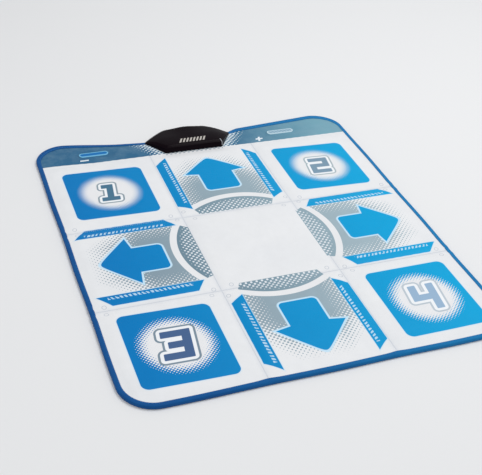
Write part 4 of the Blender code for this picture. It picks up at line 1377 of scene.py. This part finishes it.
def tape_material():
    """Woven tape: fine ribs across it, with threads that run along it between them. Its blue is painted
    darker on the left and lighter on the right, as shade and light from the right.
    """
    paint = Paint("woven_tape", Specular_IOR_Level=0.15, Sheen_Weight=0.04)
    along, across, _ = paint.place("UV")
    rib = (along * (math.tau / RIB)).cosine() * 0.5 + 0.5
    cross = ((across + along * 0.5) * (math.tau / (RIB * 1.7))).cosine() * 0.5 + 0.5
    weave = rib * 0.6 + cross * 0.4
    worn = paint.noise(22.0, 3.0, 0.6)
    left = paint.mix(worn, srgb(0, 72, 136), srgb(6, 98, 166))
    right = paint.mix(worn, srgb(6, 122, 184), srgb(26, 146, 204))
    # Tape darker on the left and lighter on the right: painted shade and light, for light that falls from the
    # right.
    base = paint.mix(ramp(paint.place()[0] / PITCH, -0.9, 1.5), left, right)
    paint.set("Base Color", paint.mix((1 - weave) * 0.55, base, TAPE_DARK))
    paint.set("Roughness", 0.62 + worn * 0.2)
    paint.bump(weave, 0.00012)
    return paint.material


def plain_material(name, colour, roughness, grain=0.0, **constants):
    """One colour with slight variation and an optional fine grain."""
    paint = Paint(name, **constants)
    cloud = paint.noise(30.0, 3.0, 0.6)
    lighter = tuple(min(1.0, c * 1.18 + 0.004) for c in colour)
    paint.set("Base Color", paint.mix(cloud, colour, lighter))
    paint.set("Roughness", roughness + (cloud - 0.5) * 0.16)
    if grain:
        paint.bump(paint.noise(900.0, 2.0), grain)
    return paint.material


TAPE = tape_material()
THREAD = plain_material("thread", srgb(46, 116, 184), 0.6)
SEAM_THREAD = plain_material("seam_thread", srgb(206, 210, 216), 0.6)
print("tape ribs every", RIB * 1000, "mm")

# %% [markdown]
# ### Sweeping the tape
#
# The tape's section starts as a circle of edges that is laid out as the section. It is extruded once for each
# frame of the track, and each new ring is moved by what turns the frame before into this one. A curve with a
# bevel would make the same shape, but not a UV map in metres.

# %% Tapes
SECTION = (
    # inward, up
    (0.0100, 0.0077), (0.0100, 0.0083), (0.0094, 0.0086), (0.0074, 0.00875), (0.0060, 0.00860),
    (0.0046, 0.00880), (0.0024, 0.00868), (0.0009, 0.0079), (0.0001, 0.0062), (0.0, 0.0043),
    (0.0001, 0.0024),
    (0.0007, 0.0008), (0.0019, 0.0000), (0.0060, 0.0001), (0.0100, 0.0001), (0.0100, 0.0009),
    (0.0060, 0.0009),
    (0.0013, 0.0010), (0.0012, 0.0043), (0.0013, 0.0076),
)


def sweep(name, track):
    """The tape along a track, closed at both ends."""
    bm = bmesh.new()
    along = bm.verts.layers.float.new("along")
    across = bm.verts.layers.float.new("across")
    uv = bm.loops.layers.uv.new("plan")
    section = bmesh.ops.create_circle(bm, segments=len(SECTION), radius=1.0)["verts"]
    travelled = 0.0
    for k, vertex in enumerate(section):
        if k:
            travelled += math.dist(SECTION[k], SECTION[k - 1])
        vertex.co = track.frames[0][1] @ Vector((0.0, *SECTION[k]))
        vertex[along], vertex[across] = track.frames[0][0], travelled
    ring = list(bm.edges)
    bmesh.ops.contextual_create(bm, geom=ring)
    for (_, before), (distance, here) in zip(track.frames, track.frames[1:]):
        verts, ring = push_out(bm, ring)
        bmesh.ops.transform(bm, matrix=here @ before.inverted(), verts=verts)
        for vertex in verts:
            vertex[along] = distance
    bmesh.ops.contextual_create(bm, geom=ring)
    for face in bm.faces:
        for loop in face.loops:
            loop[uv].uv = (loop.vert[along], loop.vert[across])
    for vertex in bm.verts:
        vertex.co = settle(vertex.co)
    made = add_piece(name, bm, TAPE)
    return made


TRACK_BODIES = {"near": "near_row", "left": "middle_row", "right": "middle_row", "far_left": "far_row",
                "far_right": "far_row"}
for name, track in TRACKS.items():
    tape = sweep(f"tape_{name}", track)
    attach(tape, TRACK_BODIES[name])
    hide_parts(f"binding_{name}")
for name, track in FOLD_TRACKS.items():
    bend(sweep(f"tape_fold_{name}", track), -1 if name.startswith("near") else 1)
print("tapes", len(TRACKS) + len(FOLD_TRACKS))

# %% [markdown]
# ## Stitches
#
# A row of stitches holds the binding, and single rows quilt the cover at its seams. Each stitch is a small
# grain of thread, half sunk in the cloth. There are well over a thousand, so a grain has only a few faces,
# and spin repeats it along a leg or round a corner.

# %% Stitches
STITCH_PITCH = 0.0042
STITCH_HALF, STITCH_R = 0.00145, 0.00036
TAPE_STITCH = 0.0081                # from the mat's edge
TAPE_STITCH_Z = 0.00872
THREAD_STOP = 0.002                 # a seam's thread ends this far short of the tape
BOX_CLEAR = 0.080                   # the header's thread stops this far from the middle of the box


def thread_row(name, legs, material, inward=0.0, z=RIM_Z + 0.0001):
    """Stitches along the legs of a track, at a distance inside it."""
    bm = bmesh.new()
    grain = Matrix.Diagonal((STITCH_HALF, STITCH_R, STITCH_R, 1.0))
    for start, forward, long, centre, angle in legs:
        count = max(1, int(long / STITCH_PITCH))
        place = Vector((*start, z)) + Vector((-forward.y, forward.x, 0)) * inward
        turned = Matrix.Translation(place) @ Matrix.Rotation(math.atan2(forward.y, forward.x), 4, "Z")
        step = (0, 0, 0) if centre else (*(forward * long / count), 0)
        middle = (*centre, 0) if centre else (0, 0, 0)
        first = Matrix.Translation(Vector(step) / 2) @ turned
        if centre:
            spin = Matrix.Rotation(angle / count / 2, 4, "Z")
            first = Matrix.Translation(middle) @ spin @ Matrix.Translation(-Vector(middle)) @ turned
        made = bmesh.ops.create_uvsphere(bm, u_segments=6, v_segments=4, radius=1.0, matrix=first @ grain)
        copies(bm, made["verts"], count, step, middle, angle / count)
    for vertex in bm.verts:
        vertex.co = settle(vertex.co)
    made = add_piece(name, bm, material, closed=False)
    return made


def straight(start, end):
    """One leg for a straight row."""
    start, end = Vector(start), Vector(end)
    return start, (end - start).normalized(), (end - start).length, None, 0.0


for name, track in TRACKS.items():
    row = thread_row(f"stitches_{name}", track.legs, THREAD, TAPE_STITCH, TAPE_STITCH_Z)
    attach(row, TRACK_BODIES[name])
for name, track in FOLD_TRACKS.items():
    row = thread_row(f"stitches_fold_{name}", track.legs, THREAD, TAPE_STITCH, TAPE_STITCH_Z)
    bend(row, -1 if name.startswith("near") else 1)
inner = SIDE - FLANGE - THREAD_STOP
SEAM_ROWS = {-1: (NEAR + FLANGE + THREAD_STOP, -FOLD_Y), 0: (-SEAM + FOLD_HALF, SEAM - FOLD_HALF),
             1: (FOLD_Y, HEADER)}
for row, (start_y, end_y) in SEAM_ROWS.items():
    legs = [straight((x, start_y), (x, end_y)) for x in (-SEAM, SEAM)]
    if row == 1:
        legs.append(straight((-inner, HEADER), (BOX_X - BOX_CLEAR, HEADER)))
        legs.append(straight((BOX_X + BOX_CLEAR, HEADER), (inner, HEADER)))
    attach(thread_row(f"quilting_{ROW_BODIES[row]}", legs, SEAM_THREAD), ROW_BODIES[row])
for row, name in ((-1, "near"), (1, "far")):
    legs = [straight((-inner, row * SEAM), (inner, row * SEAM))]
    bend(thread_row(f"quilting_fold_{name}", legs, SEAM_THREAD), row)

# %% [markdown]
# ## The anti-slip base
#
# The underside is a matt sheet with a pattern of low nubs. It lies between the flanges of the binding, on the
# same two fold lines. Nobody sees it while the mat lies on a floor, but a folded mat shows it.

# %% Base sheet
BASE_INSET = 0.0103
BASE_TOP = 0.0020
BASE_THICK = 0.0016
NUB_PITCH = 0.018
NUB_FOOT, NUB_R = 0.0019, 0.0024
NUB_HEIGHT = 0.0005
NUB_COLUMNS = 25                    # on the wider side of the middle
NUB_CLEAR = 0.005                   # between a nub and an edge
NUB_STOP = 0.003                    # between the nubs and a fold strip
BASE_STEP = 0.012
BASE = plain_material("base_rubber", srgb(46, 46, 50), 0.75, 0.00008)


def base_part(left, right, start_y, end_y, line=None):
    """A flat part of the base between two x's, cut along a slanted far edge."""
    bm = bmesh.new()
    bmesh.ops.create_grid(bm, x_segments=max(round((right - left) / BASE_STEP), 2), y_segments=12, size=1.0)
    stretch_to(bm, bm.verts, (-1, 1, -1, 1), (left, right, start_y, end_y))
    if line:
        trim_far(bm, line, BASE_INSET)
    return bm


def nubs(bm, start_y, end_y):
    """Low round nubs in staggered rows."""
    for row in range(math.ceil(start_y / NUB_PITCH), math.floor(end_y / NUB_PITCH) + 1):
        y = row * NUB_PITCH
        free = []
        for column in range(1 - NUB_COLUMNS, NUB_COLUMNS + 1):
            x = (column + 0.5 * (row % 2)) * NUB_PITCH
            under_box = abs(x - BOX_X) < NOTCH_HALF + NUB_CLEAR and y > NOTCH_Y - NUB_CLEAR
            if column < NUB_COLUMNS and from_edge(x, y) > BASE_INSET + NUB_CLEAR and not under_box:
                free.append(x)
            elif free:
                place = Matrix.Translation((free[0], y, NUB_HEIGHT / 2))
                cone = bmesh.ops.create_cone(bm, segments=8, radius1=NUB_FOOT, radius2=NUB_R,
                                             depth=NUB_HEIGHT, cap_ends=True, matrix=place)
                copies(bm, cone["verts"], len(free), (NUB_PITCH, 0, 0))
                free = []


print("nubs every", NUB_PITCH, "m")

# %% [markdown]
# ### The sheets of the base
#
# Each row has its own sheet, and a strip joins them at each fold line. The far sheet is cut from three parts,
# as the header is, because its edge follows the same slanted lines. The sheet is pulled at the edge like the
# cover above it, before it gets its thickness.

# %% Base sheets


def base_piece(name, bm, nub_rows=None):
    """Finishes one part of the base. It may carry nubs between two y's."""
    for side in (-1, 1):
        for end in (-1, 1):
            round_off(bm, side, end, inset=BASE_INSET)
    for vertex in bm.verts:
        vertex.co = settle(Vector((vertex.co.x, vertex.co.y, BASE_TOP)))
    bmesh.ops.recalc_face_normals(bm, faces=bm.faces)
    if sum(face.normal.z for face in bm.faces) < 0:
        bmesh.ops.reverse_faces(bm, faces=bm.faces)
    bmesh.ops.solidify(bm, geom=bm.faces[:], thickness=BASE_THICK)
    if nub_rows:
        nubs(bm, *nub_rows)
    made = add_piece(name, bm, BASE)
    return made


base_x = SIDE - BASE_INSET
plates = {
    "near": (base_part(-base_x, base_x, NEAR + BASE_INSET, -FOLD_Y), (NEAR, -FOLD_Y - NUB_STOP)),
    "middle": (base_part(-base_x, base_x, -SEAM + FOLD_HALF, SEAM - FOLD_HALF),
               (-SEAM + FOLD_HALF + NUB_STOP, SEAM - FOLD_HALF - NUB_STOP)),
}
far_base = merge([
    base_part(-base_x, DIPS[0][0], FOLD_Y, FAR, ((-SIDE, FAR), DIPS[0])),
    base_part(DIPS[0][0], DIPS[1][0], FOLD_Y, FAR, DIPS),
    base_part(DIPS[1][0], base_x, FOLD_Y, FAR, (DIPS[1], (SIDE, FAR))),
])
notch(far_base)
plates["far"] = (far_base, (FOLD_Y + NUB_STOP, FAR))
for name, (plate, nub_rows) in plates.items():
    made = base_piece(f"base_sheet_{name}", plate, nub_rows)
    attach(made, f"{name}_row")
    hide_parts(f"base_{name}")
for row, name in ((-1, "near"), (1, "far")):
    plate = base_part(-base_x, base_x, row * SEAM - FOLD_HALF, row * SEAM + FOLD_HALF)
    bend(base_piece(f"base_fold_{name}", plate), row)
print("base sheets", list(plates))

# %% [markdown]
# ## The control box
#
# Its plan has six corners: a front edge, two tips that reach out to the sides, and a shorter rear edge. The
# walls lean in a little, a soft shoulder runs round the roof, and every edge is rounded. It is a shell, open
# below, with four bosses for the case screws and a hole for the cord's grommet.

# %% Control box
BOX_WALL = 0.0020
SHOULDER_HIGH, SHOULDER_IN = 0.0045, 0.0060
BOX_CORNER = 0.0040
DRAFT_X, DRAFT_Y = 0.987, 0.972     # how much smaller the walls' upper edge is than their foot
FRONT_X, TIP_X, REAR_X = 0.076, 0.115, 0.056
TIP_Y = BOX_HIGH.y - 0.038
FALL_START, FALL_RUN = 0.040, 0.050 # where the roof begins to fall towards its rear, and over what run
REAR_START, REAR_RUN = 0.009, 0.047 # the same along the rear edge, outwards from its middle
TIP_START, TIP_RUN = 0.056, 0.057   # and towards the tips
MIDDLE_FALL, REAR_FALL, TIP_FALL = 0.04, 0.30, 0.76
LOWEST_SHARE = 0.2
ROOF_ROUND = 0.0018
BEVEL_STEPS = 4
SAME_HEIGHT = 0.0001                # two heights that are this close count as one
ROOF_CUTS_X = (0.009, 0.025, 0.041, 0.058, 0.069, 0.080, 0.090, 0.100, 0.108)
ROOF_CUTS_Y = (0.020, 0.040, 0.055, 0.070, 0.085)
BOX_BLACK = plain_material("box_plastic", srgb(12, 7, 10), 0.30, 0.00003, Specular_IOR_Level=0.06)


def share_of(value, start, run):
    """0 at start, 1 after the run, straight between."""
    return min(max((value - start) / run, 0), 1)


def roof_share(x, y):
    """How much of the roof's height stands at a point: less along the rear edge and towards the tips."""
    back = share_of(y - BOX_LOW.y, FALL_START, FALL_RUN)
    rear = MIDDLE_FALL + REAR_FALL * share_of(abs(x), REAR_START, REAR_RUN)
    tips = TIP_FALL * share_of(abs(x), TIP_START, TIP_RUN) ** 2
    return max(1 - rear * back - tips, LOWEST_SHARE)


def sink_roof(bm):
    """Cuts the roof into strips and lets it fall away towards the tips."""
    cuts = [((BOX_X + side * x, 0), (1, 0)) for side in (-1, 1) for x in ROOF_CUTS_X]
    cuts += [((0, BOX_LOW.y + y), (0, 1)) for y in ROOF_CUTS_Y]
    for point, across in cuts:
        cut(bm, point, across)
    for vertex in bm.verts:
        rise = vertex.co.z - BOX_LOW.z
        vertex.co.z = BOX_LOW.z + rise * roof_share(vertex.co.x - BOX_X, vertex.co.y)


print("roof shares", [round(roof_share(x, BOX_LOW.y), 2) for x in (0.0, REAR_X, TIP_X)])

# %% [markdown]
# ### A hole and four bosses
#
# The cord's grommet sits in a round hole in the rear wall. A square is cut out of the flat wall and bridged
# to a circle, which leaves clean faces where a Boolean would leave slivers. A boss is a tube with a blind
# hole from below: a cap is inset, and its middle is pushed up.

# %% Hole and bosses
GRIP_HOLE = 0.0043                  # radius of the grommet's hole
HOLE_PATCH = 0.0056                 # half the square that is cut out for it
BOSS_R, BOSS_HOLE, BOSS_DEPTH = 0.0036, 0.0016, 0.0090


def open_rear_wall(bm, height):
    """Cuts a square out of the rear wall and bridges it to a round hole for the grommet."""
    for point, across in (((BOX_X - HOLE_PATCH, 0, 0), (1, 0, 0)), ((BOX_X + HOLE_PATCH, 0, 0), (1, 0, 0)),
                          ((0, 0, height - HOLE_PATCH), (0, 0, 1)), ((0, 0, height + HOLE_PATCH), (0, 0, 1))):
        wall = [f for f in bm.faces if f.normal.y > 0.9 and abs(f.calc_center_median().x - BOX_X) < 0.04]
        cut_faces(bm, wall, point, across)
    patch = []
    for face in bm.faces:
        middle = face.calc_center_median()
        if face.normal.y > 0.9 and max(abs(middle.x - BOX_X), abs(middle.z - height)) < HOLE_PATCH:
            patch.append(face)
    rim = {edge for face in patch for edge in face.edges if sum(f in patch for f in edge.link_faces) == 1}
    corners = [vertex.co.copy() for edge in rim for vertex in edge.verts]
    low = min(corners, key=lambda co: co.z)
    high = max(corners, key=lambda co: co.z)
    bmesh.ops.delete(bm, geom=patch, context="FACES")
    circle = bmesh.ops.create_circle(bm, segments=24, radius=GRIP_HOLE)["verts"]
    for vertex in circle:
        x, z = vertex.co.x, vertex.co.y
        share = (height + z - low.z) / (high.z - low.z)
        vertex.co = (BOX_X + x, low.y + (high.y - low.y) * share, height + z)
    ring = {edge for vertex in circle for edge in vertex.link_edges}
    bmesh.ops.bridge_loops(bm, edges=[*ring, *(edge for edge in rim if edge.is_valid)])


def add_bosses(bm):
    """Four tubes under the roof, one for each case screw."""
    for number in range(1, 5):
        low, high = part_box(f"case_screw_{number}")
        x, y = (low.x + high.x) / 2, (low.y + high.y) / 2
        top = BOX_LOW.z + (BOX_HIGH.z - BOX_LOW.z) * roof_share(x - BOX_X, y) - BOX_WALL / 2
        place = Matrix.Translation((x, y, (top + BOX_LOW.z) / 2))
        tube = bmesh.ops.create_cone(bm, segments=20, radius1=BOSS_R, radius2=BOSS_R,
                                     depth=top - BOX_LOW.z, cap_ends=True, matrix=place)["verts"]
        caps = [f for f in {face for vertex in tube for face in vertex.link_faces} if f.normal.z < -0.9]
        bmesh.ops.inset_region(bm, faces=caps, thickness=BOSS_R - BOSS_HOLE, depth=0.0)
        made = bmesh.ops.extrude_face_region(bm, geom=caps)["geom"]
        deep = [item for item in made if isinstance(item, bmesh.types.BMVert)]
        bmesh.ops.translate(bm, verts=deep, vec=(0, 0, BOSS_DEPTH))
        bmesh.ops.delete(bm, geom=[face for face in caps if face.is_valid], context="FACES")


print("the grommet's hole is", 2 * GRIP_HOLE, "m wide")

# %% [markdown]
# ### The shell
#
# The outline is extruded up to the shoulder, leaned in, and closed by an inset roof that is lifted. Upright
# edges are bevelled first and the roof's edges after them, so that the small radius runs round the large
# one. The wall gets its thickness last, when the outside is right.

# %% Box shell


def draw_box():
    """The control box's shell: its outside, the wall's thickness, the grommet's hole and the bosses."""
    bm = bmesh.new()
    corners = [(FRONT_X, BOX_LOW.y), (TIP_X, TIP_Y), (REAR_X, BOX_HIGH.y),
               (-REAR_X, BOX_HIGH.y), (-TIP_X, TIP_Y), (-FRONT_X, BOX_LOW.y)]
    outline = bmesh.ops.create_circle(bm, cap_ends=True, segments=6, radius=1.0)["verts"]
    for vertex, (x, y) in zip(outline, corners):
        vertex.co = (BOX_X + x, y, BOX_LOW.z)
    bmesh.ops.recalc_face_normals(bm, faces=bm.faces)
    floor = bm.faces[:]
    raised = bmesh.ops.extrude_face_region(bm, geom=floor, use_keep_orig=True)["geom"]
    roof = [item for item in raised if isinstance(item, bmesh.types.BMFace)]
    verts = [item for item in raised if isinstance(item, bmesh.types.BMVert)]
    middle = Vector((BOX_X, (BOX_LOW.y + BOX_HIGH.y) / 2, 0))
    bmesh.ops.translate(bm, verts=verts, vec=(0, 0, BOX_HIGH.z - SHOULDER_HIGH - BOX_LOW.z))
    bmesh.ops.scale(bm, verts=verts, vec=(DRAFT_X, DRAFT_Y, 1), space=Matrix.Translation(-middle))
    bmesh.ops.inset_region(bm, faces=roof, thickness=SHOULDER_IN, depth=0.0, use_even_offset=True)
    roof = [face for face in bm.faces
            if len(face.verts) == 6 and face.calc_center_median().z > BOX_LOW.z + 0.005]
    bmesh.ops.translate(bm, verts=list({v for face in roof for v in face.verts}), vec=(0, 0, SHOULDER_HIGH))
    upright = [e for e in bm.edges if abs(e.verts[0].co.z - e.verts[1].co.z) > 0.002]
    bmesh.ops.bevel(bm, geom=upright, offset=BOX_CORNER, offset_type="OFFSET", segments=BEVEL_STEPS,
                    profile=0.5, affect="EDGES", material=-1)
    bmesh.ops.delete(bm, geom=[f for f in bm.faces if f.calc_center_median().z < BOX_LOW.z + SAME_HEIGHT],
                     context="FACES")
    shoulder = BOX_HIGH.z - SHOULDER_HIGH
    round_edges = [e for e in bm.edges
                   if all(v.co.z > shoulder - SAME_HEIGHT for v in e.verts)
                   and abs(e.verts[0].co.z - e.verts[1].co.z) < SAME_HEIGHT and len(e.link_faces) == 2
                   and e.calc_face_angle(0) > 0.2]
    bmesh.ops.bevel(bm, geom=round_edges, offset=ROOF_ROUND, offset_type="OFFSET", segments=BEVEL_STEPS,
                    profile=0.5, affect="EDGES", material=-1)
    sink_roof(bm)
    bmesh.ops.recalc_face_normals(bm, faces=bm.faces)
    grip_low, grip_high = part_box("cord_grommet")
    open_rear_wall(bm, (grip_low.z + grip_high.z) / 2)
    bmesh.ops.recalc_face_normals(bm, faces=bm.faces)
    bmesh.ops.solidify(bm, geom=bm.faces[:], thickness=BOX_WALL)
    add_bosses(bm)
    return bm


print("the box's wall is", BOX_WALL, "m thick")

# %% [markdown]
# ### The box's plastic
#
# Near-black plastic with a soft gloss. A row of plain slanted bars is printed on the roof, and a pale line on
# the front right corner stands for the glint there. Both are masks in the same material, limited to their
# height on the box.

# %% Box plastic
MARK_PERIOD, MARK_FILL = 0.0325, 0.27
MARK_X, MARK_Y, MARK_HALF = 0.062, 1.602, 0.033
MARK_INK, GLINT = srgb(206, 200, 192), srgb(206, 208, 214)
GLINT_WAY = (0.881, 0.473)          # square to the box's slanted side, seen from above
GLINT_HALF, GLINT_LONG = 0.0030, 0.042


def box_material():
    """Near-black plastic, with a row of plain slanted bars printed on the roof."""
    paint = Paint("box_top", Specular_IOR_Level=0.04)
    x, y, z = (part / PITCH for part in paint.place("Object"))
    cloud = paint.noise(30.0, 3.0, 0.6)
    ahead = y - MARK_Y
    along = x + MARK_X - ahead * 0.5
    bars = abs(along.remainder(MARK_PERIOD) - MARK_PERIOD / 2) - MARK_PERIOD * MARK_FILL
    bars = bars.most(block(along, ahead, MARK_PERIOD * 4, MARK_HALF))
    on_roof = inside(BOX_LOW.z / PITCH + 0.04 - z)
    colour = paint.mix(cloud, srgb(12, 4, 9), srgb(18, 9, 15))
    colour = paint.mix(inside(bars, 0.003) * on_roof * 0.8, colour, MARK_INK)
    beside, ahead = x - (BOX_X + FRONT_X) / PITCH, y - BOX_LOW.y / PITCH
    to_side, to_front = GLINT_WAY
    line = abs(beside * to_side + ahead * to_front) - GLINT_HALF
    corner = line.most(ahead * to_side - beside * to_front - GLINT_LONG)
    glint = corner.most(BOX_LOW.z / PITCH + 0.010 - z)
    paint.set("Base Color", paint.mix(inside(glint, 0.003) * 0.9, colour, GLINT))
    paint.set("Roughness", 0.30 + (cloud - 0.5) * 0.16)
    paint.bump(paint.noise(900.0, 2.0), 0.00003)
    return paint.material


box_shell = add_piece("box_shell", draw_box(), box_material(), closed=False)
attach(box_shell, "far_row")
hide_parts("upper_shell")
print("box", len(box_shell.data.polygons), "faces")

# %% [markdown]
# ## Inner pieces
#
# The sheets and small parts inside keep the shape that the packed model gives them, and take a material of
# their own. They are the clear films with their black contacts, the foam, the green board, and the screws.

# %% Materials of the inner pieces
SLOT_MATERIALS = {
    "contact_film": plain_material("contact_film", srgb(190, 196, 198), 0.25),
    "spacer_foam": plain_material("spacer_foam", srgb(206, 206, 198), 0.85, 0.0002),
    "printed_contact": plain_material("printed_contact", srgb(44, 44, 46), 0.6),
    "box_plastic": BOX_BLACK,
    "circuit_board": plain_material("circuit_board", srgb(24, 92, 56), 0.4),
    "chip_resin": plain_material("chip_resin", srgb(16, 16, 18), 0.2),
    "silicone": plain_material("silicone", srgb(150, 152, 154), 0.6),
    "clamp_plastic": plain_material("clamp_plastic", srgb(196, 192, 182), 0.5),
    "grommet_rubber": plain_material("grommet_rubber", srgb(24, 24, 25), 0.65),
    "steel": plain_material("steel", srgb(176, 178, 180), 0.3, Metallic=1.0),
}
SLOTS = {item["node"]: item["material_slot"] for item in frame["record"]["subparts"]}
for name, node in frame["nodes"].items():
    if SLOTS[name] in SLOT_MATERIALS:
        node.data.materials.clear()
        node.data.materials.append(SLOT_MATERIALS[SLOTS[name]])
        node.data.set_sharp_from_angle(angle=SHARP)
print("inner pieces", sum(slot in SLOT_MATERIALS for slot in SLOTS.values()))

# %% [markdown]
# ## Floor and light
#
# A plain pale floor and soft studio light, as in a catalogue. A large key light gives one soft shadow, and a
# weaker fill from the other side keeps it open.

# %% Stage
floor_bm = bmesh.new()
bmesh.ops.create_grid(floor_bm, x_segments=1, y_segments=1, size=30.0)
floor_paint = Paint("floor", Base_Color=(0.80, 0.80, 0.80, 1.0), Roughness=0.9)
floor = add_piece("floor", floor_bm, floor_paint.material, closed=False)

SKY, SKY_LEVEL = (0.95, 0.97, 1.0, 1.0), 0.55
world = bpy.data.worlds.new("studio")
bpy.context.scene.world = world
world.use_nodes = True
background = world.node_tree.nodes["Background"]
background.inputs[0].default_value = SKY
background.inputs[1].default_value = SKY_LEVEL


def softbox(name, at, size, power):
    """A square light that looks at the mat."""
    data = bpy.data.lights.new(name, "AREA")
    data.size, data.energy = size, power
    lamp = bpy.data.objects.new(name, data)
    bpy.context.scene.collection.objects.link(lamp)
    lamp.location = at
    lamp.rotation_mode = "QUATERNION"
    lamp.rotation_quaternion = (-Vector(at)).to_track_quat("-Z", "Y")


softbox("key", (1.4, 0.5, 3.4), 1.8, 66)
softbox("fill", (-1.8, -1.4, 2.6), 2.4, 16)
print("lights", [light.name for light in bpy.data.lights])
bpy.context.scene.view_settings.view_transform = "Standard"
